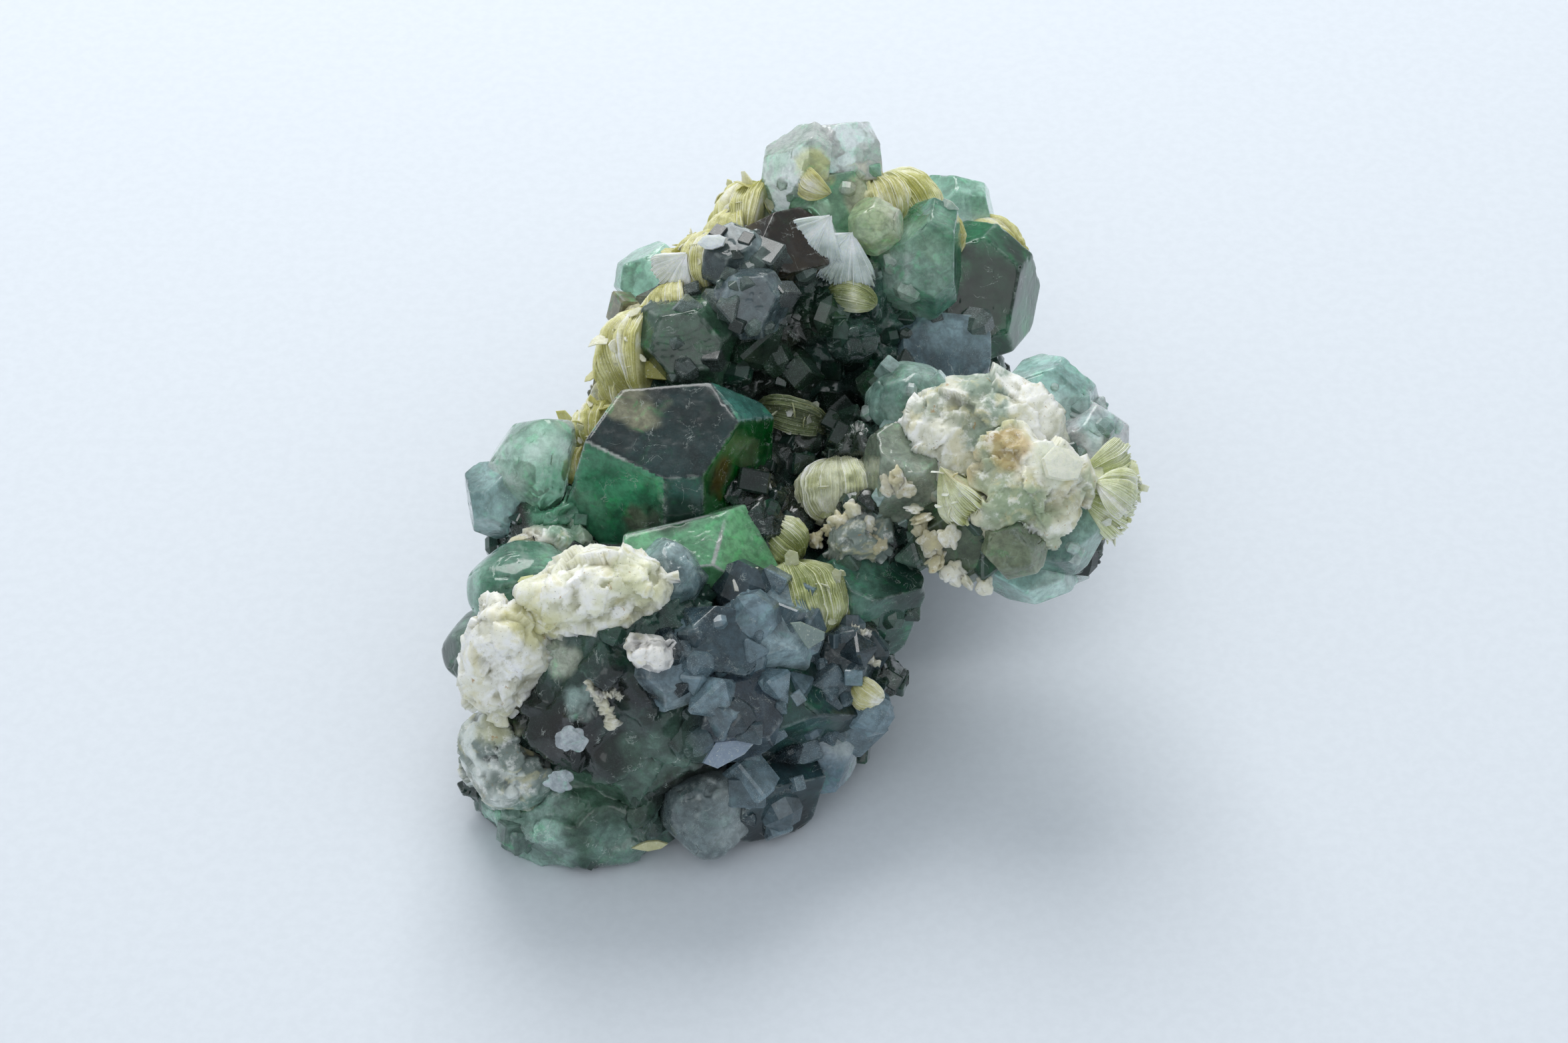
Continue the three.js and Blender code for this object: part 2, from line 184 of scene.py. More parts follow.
def node_arrays(name):
    """A CAD node's corners in millimetres and its triangles."""
    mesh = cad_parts[name].data
    mesh.calc_loop_triangles()
    triangles = values(mesh.loop_triangles, "vertices", 3, np.int64)
    return values(mesh.vertices, "co", 3) / MM, triangles


def emptied(bm):
    """The corners and faces of a bmesh, which is freed."""
    points = np.array([v.co for v in bm.verts])
    faces = np.array([[v.index for v in f.verts] for f in bm.faces])
    bm.free()
    return points, faces


def sphere(detail):
    """Directions spread evenly over a ball, and the triangles between them."""
    bm = bmesh.new()
    bmesh.ops.create_icosphere(bm, subdivisions=detail, radius=1)
    points, faces = emptied(bm)
    return points / norm(points, axis=1)[:, None], faces


BEAD, CRYSTAL, BIG_CRYSTAL = 4, 6, 7  # how often the sphere that becomes one is divided
SPHERES = {detail: sphere(detail) for detail in (BEAD, CRYSTAL, BIG_CRYSTAL)}


def quads_of(index):
    """The quads of a grid of corners, given by their row and column."""
    return np.stack([index[:-1, :-1], index[1:, :-1], index[1:, 1:], index[:-1, 1:]], -1)


def ring_triangles(index, inwards=False):
    """The triangles of a grid whose last column meets its first."""
    quads = quads_of(np.concatenate([index, index[:, :1]], 1)).reshape(-1, 4)
    if inwards:
        quads = quads[:, [0, 3, 2, 1]]
    return np.concatenate([quads[:, [0, 1, 2]], quads[:, [0, 2, 3]]])


def joined(parts):
    """Several (points, faces) as one pair, and which part each point is from."""
    points, faces, owner, start = [], [], [], 0
    for i, (p, f) in enumerate(parts):
        points.append(p)
        faces.append(f + start)
        owner.append(np.full(len(p), i))
        start += len(p)
    return np.concatenate(points), np.concatenate(faces), np.concatenate(owner)


def spread(node, count, random):
    """Points spread by area over what grew on a node, with their normals, in millimetres."""
    polygons = bpy.data.objects[f"{node}_grown"].data.polygons
    area = values(polygons, "area")
    pick = random.choice(len(area), count, p=area / area.sum())
    return zip(values(polygons, "center", 3)[pick] / MM, values(polygons, "normal", 3)[pick])


def vertex_normals(points, faces):
    """Smooth normals of a mesh of triangles or quads."""
    across = np.cross(points[faces[:, 2]] - points[faces[:, 0]],
                      points[faces[:, -1]] - points[faces[:, 1]])
    total = np.zeros_like(points)
    for corner in range(faces.shape[1]):
        for axis in range(3):
            total[:, axis] += np.bincount(faces[:, corner], across[:, axis], len(points))
    return total / np.maximum(norm(total, axis=1), 1e-12)[:, None]


def remeshed(name, voxel, grow):
    """A dense even copy of a CAD node's surface, grown outwards, in millimetres."""
    work = bpy.data.objects.new("work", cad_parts[name].data.copy())
    SCENE.collection.objects.link(work)
    modifier = work.modifiers.new("even", "REMESH")
    modifier.mode = "VOXEL"
    modifier.voxel_size = voxel * MM
    mesh = bpy.data.meshes.new_from_object(
        work.evaluated_get(bpy.context.evaluated_depsgraph_get())
    )
    points = values(mesh.vertices, "co", 3) / MM
    faces = np.array([face.vertices[:] for face in mesh.polygons if len(face.vertices) == 4])
    bpy.data.objects.remove(work)
    return points + grow * vertex_normals(points, faces), faces


# ---- crystals ----
def facets_of(name):
    """The flat outer faces of a CAD crystal: normals, distances from its middle, and the middle."""
    points, triangles = node_arrays(name)
    a, b, c = (points[triangles[:, k]] for k in range(3))
    cross = np.cross(b - a, c - a)
    doubled = norm(cross, axis=1)
    centre = ((a + b + c) / 3 * doubled[:, None]).sum(0) / doubled.sum()
    planes = []
    for i in np.argsort(-doubled):
        if doubled[i] < 1e-6:
            continue
        normal = cross[i] / doubled[i]
        distance = normal @ a[i]
        same = [p for p in planes if p[0] @ normal > 0.998 and abs(p[1] - distance) < 0.08]
        if same:
            same[0][2] += doubled[i]
        else:
            planes.append([normal, distance, doubled[i]])
    outer = [
        (normal, distance - normal @ centre)
        for normal, distance, area in planes
        if area > 0.5 and (points @ normal).max() < distance + 0.06
    ]
    # The sides of its box close the shape where it has no flat face.
    sides = np.stack([np.eye(3), -np.eye(3)], 1).reshape(-1, 3)
    box = np.stack([points.max(0) - centre, centre - points.min(0)], 1).ravel() + 0.3
    normals = np.concatenate([[normal for normal, _ in outer], sides])
    distances = np.maximum([*(distance for _, distance in outer), *box], 0.4)
    return normals, distances, centre


SKIN = 0.3  # how far a crystal's skin stands out of its CAD solid, to meet its neighbours
EDGE_WIDTH = 0.22


def crystal_shape(name, sharp, detail, terrace, seed):
    """A crystal's points and faces, and each point's facet normal and nearness to an edge."""
    normals, distances, centre = facets_of(name)
    directions, faces = SPHERES[detail]
    reach = directions @ normals.T / (distances + SKIN)
    shell = (np.maximum(reach, 0) ** sharp).sum(1) ** (-1 / sharp)
    order = np.argsort(-reach, axis=1)
    rows = np.arange(len(directions))
    facet = order[:, 0]
    second = 1 / np.maximum(reach[rows, order[:, 1]], 1e-3)
    edge = np.exp(-(((second - 1 / reach[rows, facet]) / EDGE_WIDTH) ** 2))
    points = centre + directions * shell[:, None]
    drift = points + 7.0 * facet[:, None]
    level = noise(drift, 0.32, seed) + 0.35 * noise(drift, 0.9, seed + 1)
    step = np.floor(level * 3) / 3 * terrace
    pit = -terrace * smooth(noise(points, 2.3, seed + 2), 0.45, 0.9)
    chip = -0.22 * edge * smooth(noise(points, 1.1, seed + 3), 0.15, 0.8)
    height = (step + pit) * (1 - edge) + chip + 0.4 * terrace * noise(points, 1.6, seed + 4)
    points = points + normals[facet] * height[:, None]
    points[:, 2] = np.maximum(points[:, 2], FLOOR_CLEARANCE)
    return points, faces, normals[facet], edge


def facing(azimuth, elevation):
    """The direction at an azimuth from +X towards +Y and an elevation, in degrees."""
    a, e = math.radians(azimuth), math.radians(elevation)
    return np.array([math.cos(e) * math.cos(a), math.cos(e) * math.sin(a), math.sin(e)])


# Patches of local colour on whatever is there: place, radius, colour and strength. Most are stains and
# tones of the stone; one is painted shade and two are painted glints, as marked.
STAINS_SHADE_AND_GLINTS = [
    # The first patch of the line below is painted shade, a near-black stand-in for a shaded hollow in
    # the front lump.
    (-18.9, 5.6, 15.6, 5.2, "1b1a17", 0.92), (-14.0, 6.4, 18.6, 3.4, "23262a", 0.7),
    (-16.5, 5.4, 7.4, 5.4, "43604f", 0.9), (-10.6, 6.8, 13.4, 5.2, "4b6458", 0.9),
    (-14.0, 7.6, 17.0, 2.6, "3c4c47", 0.8), (-15.3, 8.3, 21.8, 2.6, "23282a", 0.8),
    (-18.0, 8.0, 19.4, 1.8, "8ea39e", 0.8), (-19.8, 11.4, 21.8, 2.2, "a9b0a0", 0.8),
    (-24.0, 7.6, 2.6, 6.5, "86a297", 0.9), (-14.0, 5.4, 2.4, 4.5, "5f7a70", 0.8),
    (-22.4, 12.5, 25.1, 3.0, "d0cd98", 0.8), (-13.2, 13.6, 29.6, 3.6, "d9dbb6", 0.7),
    (-26.5, 9.6, 15.6, 2.6, "c9c8a0", 0.6), (-13.2, 25.3, 24.6, 2.4, "6d675a", 0.75),
    (-14.2, 33.2, 31.8, 3.2, "8b8a70", 0.8), (-20.4, 27.0, 25.0, 4.6, "558c70", 0.8),
    (-10.4, 25.0, 26.0, 3.0, "1d2a20", 0.7), (-5.7, 28.4, 28.4, 2.4, "55440f", 0.85),
    # The first patch of the line below is a painted green glint.
    (16.2, 53.4, 31.2, 2.6, "2f8a5e", 0.75), (10.6, 50.8, 33.6, 2.4, "cfe0da", 0.6),
    (7.0, 56.5, 37.0, 2.4, "e6e8c4", 0.8), (-1.0, 56.0, 41.0, 2.0, "b9dcc4", 0.7),
    # The first patch of the line below is a painted green glint.
    (15.4, 58.0, 26.0, 3.0, "2f7a52", 0.7), (2.8, 57.0, 40.6, 2.4, "e6e2a0", 0.8),
    (20.2, 27.0, 33.4, 2.6, "b39452", 0.75), (17.0, 30.8, 33.6, 2.4, "9fa58e", 0.8),
    (13.2, 33.0, 32.2, 2.2, "8d9a86", 0.7), (21.0, 22.8, 29.4, 3.4, "9aac8c", 0.85),
    (24.6, 26.3, 31.9, 2.6, "eef2e2", 0.9), (15.8, 26.2, 31.4, 2.2, "b9a583", 0.6),
    (-16.5, 50.0, 29.0, 4.0, "b9b48c", 0.85), (-18.3, 43.8, 23.8, 4.0, "a9a57e", 0.85),
    (-28.0, 8.0, 8.0, 2.6, "8d948a", 0.8), (5.0, 38.0, 27.0, 6.0, "1c2a1d", 0.6),
    (1.0, 46.0, 30.0, 4.0, "2a2417", 0.6), (4.0, 48.0, 31.0, 3.0, "2c5236", 0.5),
]


def with_stains_shade_and_glints(points, tint):
    """The tint with the patches of local colour that reach it: stains, painted shade and painted
    glints.
    """
    for *spot, radius, colour, strength in STAINS_SHADE_AND_GLINTS:
        distance = norm(points - here(spot), axis=1)
        if distance.min() > radius * 1.5:
            continue
        ragged = distance / radius + 0.35 * fbm(points, 1.2 / radius, 3, 77)
        tint = blend(tint, rgb(colour), strength * smooth(1 - ragged, 0, 0.45))
    return tint


LUMINANCE = np.array([0.2126, 0.7152, 0.0722])
# Light crosses a crystal's skin twice, so it is greyer by a share and brighter by a factor.
SKIN_TONE = {"dark": (0.0, 1.3), "emerald": (0.25, 1.2), "smoky": (0.2, 1.25), "teal": (0.1, 1.3),
             "pale": (0.0, 1.3)}
BIG = 13 * MM  # the longest size from which a crystal gets the finer mesh
WORN_EDGE = "dfe6df"


def build_crystal(name, kind, colour, glow, frost, sharp=50, faces=(), rims=()):
    """The crystal's mesh, with its colour zones, frosting and worn edges as attributes, and painted
    light and shade on the faces given.
    """
    seed = sum(map(ord, name))
    low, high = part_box(name)
    detail = BIG_CRYSTAL if (high - low).length > BIG else CRYSTAL
    terrace = 0.015 if detail == BIG_CRYSTAL else 0.05
    points, triangles, normals, edge = crystal_shape(name, sharp, detail, terrace, seed)
    zone = smooth(fbm(points, 0.16, 3, seed), -0.35, 0.55)
    tint = blend(rgb(colour), rgb(glow), zone)
    cover = frost * (0.6 + 0.4 * fbm(points, 0.5, 3, seed + 9))
    # Painted light and shade: each face given takes its own colour, lighter or darker by the way it
    # faces.
    for (azimuth, elevation), own, own_frost in faces:
        share = smooth(normals @ facing(azimuth, elevation), 0.93, 0.97)
        tint = blend(tint, rgb(own) * (0.85 + 0.3 * zone)[:, None], share)
        cover = blend(cover, own_frost * (0.7 + 0.3 * fbm(points, 0.6, 3, seed + 9)), share)
    tint = with_stains_shade_and_glints(points, tint)
    paled, lifted = SKIN_TONE[kind]
    tint = lifted * blend(tint, (tint @ LUMINANCE)[:, None], paled)
    for spot, radius in rims:
        near = smooth(1 - norm(points - here(spot), axis=1) / radius, 0, 0.3)
        tint = blend(tint, rgb(WORN_EDGE), near * smooth(edge, 0.35, 0.8))
    add_piece(f"{name}_grown", points, triangles, kind, name,
              tint=tint, frost=np.clip(cover, 0, 1), edge=edge)


# ---- mica ----
def turned(x, y, z):
    """The rotation about X, then Y, then Z, in degrees."""
    return np.array(
        Matrix.Rotation(math.radians(z), 3, "Z")
        @ Matrix.Rotation(math.radians(y), 3, "Y")
        @ Matrix.Rotation(math.radians(x), 3, "X")
    )


SHEET_RISE = np.array([0.0, 0.9, 1.0, 0.75])  # across one sheet's edge
SHEET_GROOVE = 0.014  # how deep the groove between two sheets is, as a share of their reach
RIM_STEPS = 56
FACE_RINGS = 14


YELLOW = ("a5a355", "e0dda0", "fbfaf0")


def build_mica(name, at, turn, reach, root, fan, colours=YELLOW, look="yellow"):
    """A rosette of thin wavy sheets that fan out from a shared root, in books."""
    seed = sum(map(ord, name))
    random = np.random.default_rng(seed)
    sheets = max(40, round(fan * 0.8))
    across = len(SHEET_RISE)
    ends = random.random(sheets) < 0.14
    book = np.cumsum(ends) - ends[0]
    book_reach = random.uniform(-0.09, 0.03, book.max() + 1)[book]
    sheet_reach = 1 + book_reach + random.uniform(-0.05, 0.02, sheets)
    sheet_root = 1 + random.uniform(-0.1, 0.04, book.max() + 1)[book]
    along = np.linspace(-math.pi / 2, math.pi / 2, RIM_STEPS + 1)
    columns = sheets * across + 1
    column = np.arange(columns)
    sheet = np.minimum(column // across, sheets - 1)
    rise = SHEET_RISE[column % across]
    angle = math.radians(fan) * (column / (columns - 1) - 0.5)
    grid = np.stack(np.broadcast_arrays(angle[:, None] * 2, along[None] * 1.6, seed % 91.0), -1)
    spots = grid.reshape(-1, 3)
    by_book = spots + np.array([3.7, 0, 0]) * book[sheet].repeat(len(along))[:, None]
    ragged = 0.06 * noise(by_book, 0.9, seed) + 0.035 * noise(by_book, 3.3, seed + 1)
    ragged = ragged.reshape(columns, -1)
    wavy = 0.06 * noise(spots, 0.8, seed + 2).reshape(columns, -1) * np.cos(along)
    out = reach * (sheet_reach[sheet][:, None] * (1 + ragged) - SHEET_GROOVE * (1 - rise)[:, None])
    out = out * np.cos(along) ** 0.8
    rim = np.stack([
        out * np.cos(angle[:, None] + wavy),
        out * np.sin(angle[:, None] + wavy),
        root * sheet_root[sheet][:, None] * np.sin(along) * (1 + 0.5 * ragged),
    ], -1)
    rim[:, 0, :] = [0, 0, -root]
    rim[:, -1, :] = [0, 0, root]
    points = [rim.reshape(-1, 3)]
    index = np.arange(columns * len(along)).reshape(columns, -1)
    faces = [quads_of(index)]
    mood = random.random(book.max() + 1)[book]
    # Painted light and shade: each sheet's raised edge is lighter and the groove between sheets darker,
    # the first sheet of each book lighter still.
    painted_light_share = 0.35 * rise + 0.65 * ends[sheet] * rise
    shares = [np.broadcast_to(painted_light_share[:, None], index.shape).ravel()]
    lots = [np.broadcast_to(mood[sheet][:, None], index.shape).ravel()]
    # The two outer sheets show their flat faces, stepped where thinner sheets broke off.
    rings = np.linspace(0, 1, FACE_RINGS + 1)[:-1]
    start = index.size
    for side, ring, outer in ((-1, rim[0], index[0]), (1, rim[-1], index[-1])):
        tilt = angle[0] if side < 0 else angle[-1]
        normal = side * np.array([-math.sin(tilt), math.cos(tilt), 0])
        axis = np.zeros((len(along), 3))
        axis[:, 2] = 0.96 * root * np.sin(along)
        flat = (axis[None] + (ring - axis)[None] * rings[:, None, None]).reshape(-1, 3)
        share = rings.repeat(len(along))
        level = np.floor(3.5 * (noise(flat + side * 5, 0.45, seed + 5) + 0.8 * share))
        flat = flat + normal * (0.07 * level * np.sin(np.pi * share) ** 0.5)[:, None]
        points.append(flat)
        own = start + np.arange(len(flat)).reshape(len(rings), -1)
        start += len(flat)
        quads = quads_of(np.concatenate([own, outer[None]]))
        faces.append(quads if side < 0 else quads[..., ::-1])
        shares.append(np.clip(0.25 + 0.5 * share**4 + 0.15 * (level % 2), 0, 1))
        lots.append(0.5 + 0.3 * noise(flat, 0.7, seed + 8))
    points = np.concatenate(points)
    faces = np.concatenate([f.reshape(-1, 4) for f in faces])
    share = np.concatenate(shares)
    lot = np.concatenate(lots)
    place = points @ turned(*turn).T + here(at)
    drift = fbm(place, 0.5, 3, seed + 3)
    deep, body, pale = (rgb(colour) for colour in colours)
    tone = blend(deep, body, smooth(share + 0.5 * drift, -0.1, 0.5))
    tone = blend(tone, pale, smooth(share + 0.3 * lot + 0.6 * drift, 0.55, 1.25))
    tone = with_stains_shade_and_glints(place, tone * (0.95 + 0.2 * lot)[:, None])
    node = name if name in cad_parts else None
    add_piece(f"{name}_grown", place, faces, look, node, tint=tone)


# Rings of a plate: how far out, as a share of its outline, and how high, of its thickness.
PLATE_TOP = ((0.0, 0.5), (0.6, 0.5), (0.95, 0.42), (1.0, 0.0))
PLATE_RINGS = (*PLATE_TOP, (0.95, -0.42), (0.6, -0.5), (0.0, -0.5))


def plate(at, normal, along, length, width, thickness, random, bend):
    """A small broken plate: a ragged outline with two faces, a little curved."""
    normal = np.array(normal, float) / norm(normal)
    along = np.array(along, float) - normal * (normal @ np.array(along, float))
    along /= norm(along)
    side = np.cross(normal, along)
    count = int(random.integers(5, 9))
    turn = 2 * math.pi * (np.arange(count) + random.uniform(-0.3, 0.3, count)) / count
    far = random.uniform(0.62, 1.1, count)
    rings = []
    for share, lift in PLATE_RINGS:
        u = share * far * np.cos(turn) * length / 2
        v = share * far * np.sin(turn) * width / 2
        w = lift * thickness - bend * (u / length) ** 2 * length * 2
        rings.append(u[:, None] * along + v[:, None] * side + w[:, None] * normal)
    points = np.concatenate(rings) + np.array(at)
    return points, ring_triangles(np.arange(len(points)).reshape(len(rings), count))


def build_flakes(name, hosts, count, sizes, colours, seed):
    """Thin mica flakes that stand out of their host rosettes."""
    random = np.random.default_rng(seed)
    parts, tones = [], []
    for host in hosts:
        for spot, normal in spread(host, count, random):
            size = random.uniform(*sizes)
            away = random.normal(size=3)
            lean = normal * random.uniform(0.2, 0.9) + 0.6 * away / norm(away)
            across = np.cross(lean, random.normal(size=3))
            at = spot + 0.25 * size * lean / norm(lean)
            width = size * random.uniform(0.5, 0.9)
            if at[2] < size:
                continue
            thickness = random.uniform(0.06, 0.16)
            parts.append(plate(at, across, lean, size, width, thickness, random, 0.2))
            tones.append(random.random())
    points, faces, owner = joined(parts)
    tint = blend(rgb(colours[0]), rgb(colours[1]), np.array(tones)[owner])
    add_piece(name, points, faces, "yellow", flat=True, tint=with_stains_shade_and_glints(points, tint))


# ---- crusts and the matrix ----
CRUST_VOXEL = 0.2
MATRIX_VOXEL = 0.4


def build_crust(name, colours, look="feldspar", lumps=0.7, patch=None):
    """A crust of broken lumps: tilted faces of several sizes under a sugary skin."""
    seed = sum(map(ord, name))
    points, faces = remeshed(name, CRUST_VOXEL, 0.25)
    normals = vertex_normals(points, faces)
    broad, _ = chunks(points + 0.4 * fbm(points, 0.6, 2, seed)[:, None], 0.38, seed)
    small, grain = chunks(points, 0.95, seed + 5)
    height = lumps * (0.5 * broad + 0.8 * fbm(points, 0.22, 2, seed))
    height += 0.15 * small + 0.04 * fbm(points, 1.7, 3, seed + 6)
    height = np.clip(height, -1.2, 1.0)
    points = points + normals * height[:, None]
    points[:, 2] = np.maximum(points[:, 2], FLOOR_CLEARANCE)
    dark, main, pale = (rgb(colour) for colour in colours)
    # Painted shade: the hollows, where the crust is pushed in, take the first, darker colour.
    tint = blend(dark, main, smooth(height + 0.5 * fbm(points, 0.8, 2, seed + 4), -0.7, 0.1))
    tint = blend(tint, pale, smooth(grain * 0.5 + 0.5 * fbm(points, 0.45, 3, seed + 8), 0.1, 0.6))
    if patch:
        tint = blend(tint, rgb(patch), 0.85 * smooth(fbm(points, 0.22, 3, seed + 2), 0.0, 0.35))
    add_piece(f"{name}_grown", points, faces, look, name, tint=with_stains_shade_and_glints(points, tint))


FRONT_LUMP = ((-17.0, 7.0, 11.0), 13.0)  # where the massive fluorite is glassy and unbroken


def build_matrix():
    """The massive fluorite: cleaved chunks and small facets, dark green to brown-black."""
    points, faces = remeshed("fluorite_matrix", MATRIX_VOXEL, 0.3)
    normals = vertex_normals(points, faces)
    broad, _ = chunks(points, 0.24, 3)
    small, ident = chunks(points, 0.6, 5)
    spot, radius = FRONT_LUMP
    glassy = smooth(1.25 - norm(points - here(spot), axis=1) / radius, 0, 0.4)
    height = 0.3 * broad + 0.4 * small * (1 - 0.85 * glassy) + 0.1 * fbm(points, 0.9, 2, 9)
    height += glassy * 0.35 * fbm(points, 0.25, 3, 19)
    height *= smooth(points[:, 2], 0, 1.5)
    height = np.clip(height, -0.8, 0.8)
    points = points + normals * height[:, None]
    points[:, 2] = np.maximum(points[:, 2], 0)
    mood = smooth(fbm(points, 0.07, 3, 21), -0.4, 0.5)
    tint = blend(rgb("16241f"), rgb("2f4a41"), mood)
    tint = blend(tint, rgb("211f17"), 0.7 * smooth(fbm(points, 0.11, 2, 23), 0.05, 0.5))
    tint = tint * blend(0.7 + 0.6 * ident, 1.0, glassy)[:, None]
    tint = with_stains_shade_and_glints(points, tint)
    add_piece("fluorite_matrix_grown", points, faces, "massive", "fluorite_matrix",
              tint=1.2 * tint, frost=blend(0.35 + 0.3 * ident, 0.12, glassy), edge=ident * 0)


def small_crystal(far, near):
    """A cube with each corner cut to three points, far along one axis and near along two."""
    bm = bmesh.new()
    for signs in np.ndindex(2, 2, 2):
        for axis in range(3):
            bm.verts.new((2 * np.array(signs) - 1) * np.where(np.arange(3) == axis, far, near))
    bmesh.ops.convex_hull(bm, input=bm.verts)
    bmesh.ops.triangulate(bm, faces=bm.faces)
    bm.verts.index_update()
    return emptied(bm)


CUBE, BLUNT, SHARP = (1, 0.86), (1.1, 0.5), (1.4, 0.12)
HABITS = [small_crystal(*habit) for habit in (CUBE, BLUNT, SHARP)]


def build_druse(name, hosts, count, sizes, colours, kind, seed, keep):
    """Small crystals, nearly parallel on each host, wherever keep(point, normal, size) lets."""
    random = np.random.default_rng(seed)
    parts, tones, frosts = [], [], []
    for host in hosts:
        main = random.normal(size=(3, 3))
        for spot, normal in spread(host, count, random):
            size = sizes[0] * (sizes[1] / sizes[0]) ** random.random() ** 1.5
            axes = np.linalg.qr(main + random.normal(size=(3, 3)) * 0.25)[0]
            points, faces = HABITS[random.integers(len(HABITS))]
            stretch = random.uniform(0.75, 1.25, 3)
            tone, frost = random.random(2)
            if spot[2] < 1.6 * size + 0.3 or not keep(spot, normal, size):
                continue
            if np.linalg.det(axes) < 0:
                axes[:, 0] *= -1
            parts.append(((points * stretch * size) @ axes.T + spot - normal * 0.4 * size, faces))
            tones.append(tone)
            frosts.append(frost)
    points, faces, owner = joined(parts)
    tint = blend(rgb(colours[0]), rgb(colours[1]), np.array(tones)[owner])
    add_piece(name, points, faces, kind, flat=True, tint=with_stains_shade_and_glints(points, tint),
              frost=np.array(frosts)[owner], edge=np.zeros(len(points)))


TUBE_RINGS = 26
TUBE_SIDES = 12


def tube(path, radii, random):
    """A rough twig of crust along a path: points and triangles."""
    path = np.array([here(p) for p in path])
    share = np.linspace(0, len(path) - 1, TUBE_RINGS)
    line = np.stack([np.interp(share, np.arange(len(path)), path[:, k]) for k in range(3)], 1)
    radius = np.interp(share, np.arange(len(path)), radii)
    ahead = np.gradient(line, axis=0)
    ahead /= norm(ahead, axis=1)[:, None]
    side = np.cross(ahead, [0.3, 0.2, 1.0])
    side /= norm(side, axis=1)[:, None]
    up = np.cross(side, ahead)
    turn = np.linspace(0, 2 * math.pi, TUBE_SIDES + 1)[:-1]
    ring = np.cos(turn)[None, :, None] * side[:, None] + np.sin(turn)[None, :, None] * up[:, None]
    points = (line[:, None] + ring * radius[:, None, None]).reshape(-1, 3)
    points += 0.16 * random.normal(size=(len(points), 1)) * ring.reshape(-1, 3)
    index = np.arange(len(points)).reshape(TUBE_RINGS, TUBE_SIDES)
    first, last = index[0], index[-1]
    caps = [[first[0], first[k + 1], first[k]] for k in range(1, TUBE_SIDES - 1)]
    caps += [[last[0], last[k], last[k + 1]] for k in range(1, TUBE_SIDES - 1)]
    return points, np.concatenate([ring_triangles(index, inwards=True), np.array(caps)])


def lens(at, normal, radius, thickness, seed, ragged):
    """A small flattened lump on a surface."""
    directions, faces = SPHERES[BEAD]
    normal = np.array(normal, float) / norm(normal)
    rise = directions @ normal
    flat = directions - rise[:, None] * normal
    bulge = 1 + ragged * noise(directions * 2, 1, seed)
    points = flat * radius * bulge[:, None] + rise[:, None] * normal * thickness
    return points + here(at), faces


# ---- materials ----
class Shader:
    """A node material: each method adds a node, whose inputs are values or nodes' outputs."""

    def __init__(self, name):
        self.material = bpy.data.materials.new(name)
        self.material.use_nodes = True
        self.tree = self.material.node_tree
        self.tree.nodes.clear()
        self.place = self.node("ShaderNodeTexCoord").outputs["Object"]

    def node(self, kind, inputs=None, **settings):
        node = self.tree.nodes.new(kind)
        for key, value in settings.items():
            setattr(node, key, value)
        for key, value in (inputs or {}).items():
            if isinstance(value, bpy.types.NodeSocket):
                self.tree.links.new(value, node.inputs[key])
            else:
                node.inputs[key].default_value = value
        return node

    def attribute(self, name, output="Fac"):
        return self.node("ShaderNodeAttribute", attribute_name=name).outputs[output]

    def noise(self, per_mm, detail=4.0, rough=0.6, distortion=0.0):
        return self.node("ShaderNodeTexNoise", {
            "Vector": self.place, "Scale": per_mm / MM, "Detail": detail, "Roughness": rough,
            "Distortion": distortion,
        }).outputs["Fac"]

    def cells(self, per_mm):
        inputs = {"Vector": self.place, "Scale": per_mm / MM}
        return self.node("ShaderNodeTexVoronoi", inputs).outputs["Distance"]

    def range(self, value, low, high, to_low=0.0, to_high=1.0):
        return self.node("ShaderNodeMapRange", {
            "Value": value, "From Min": low, "From Max": high, "To Min": to_low, "To Max": to_high,
        }, interpolation_type="SMOOTHSTEP").outputs["Result"]

    def math(self, operation, a, b=0.0):
        return self.node("ShaderNodeMath", {0: a, 1: b}, operation=operation).outputs[0]

    def times(self, a, b):
        return self.math("MULTIPLY", a, b)

    def grey(self, value):
        return self.node("ShaderNodeCombineColor", {0: value, 1: value, 2: value}).outputs[0]

    def mix(self, share, a, b, way="MIX"):
        colour = [v if isinstance(v, bpy.types.NodeSocket) else (*v, 1.0) for v in (a, b)]
        return self.node("ShaderNodeMix", {0: share, 6: colour[0], 7: colour[1]},
                         data_type="RGBA", blend_type=way).outputs[2]

    def tinted(self, colour, by):
        return self.mix(1.0, colour, by, "MULTIPLY")

    def bump(self, height, strength, distance, normal=None):
        inputs = {"Height": height, "Strength": strength, "Distance": distance * MM}
        if normal:
            inputs["Normal"] = normal
        return self.node("ShaderNodeBump", inputs).outputs["Normal"]

    def finish(self, **inputs):
        names = {key.replace("_", " "): value for key, value in inputs.items()}
        shader = self.node("ShaderNodeBsdfPrincipled", names)
        self.node("ShaderNodeOutputMaterial", {"Surface": shader.outputs["BSDF"]})
        return self.material


FROST = rgb("a9b9bb")
RIM = rgb("d3dcd6")
GREEN_GLINT = (0.62, 1.55, 0.95)


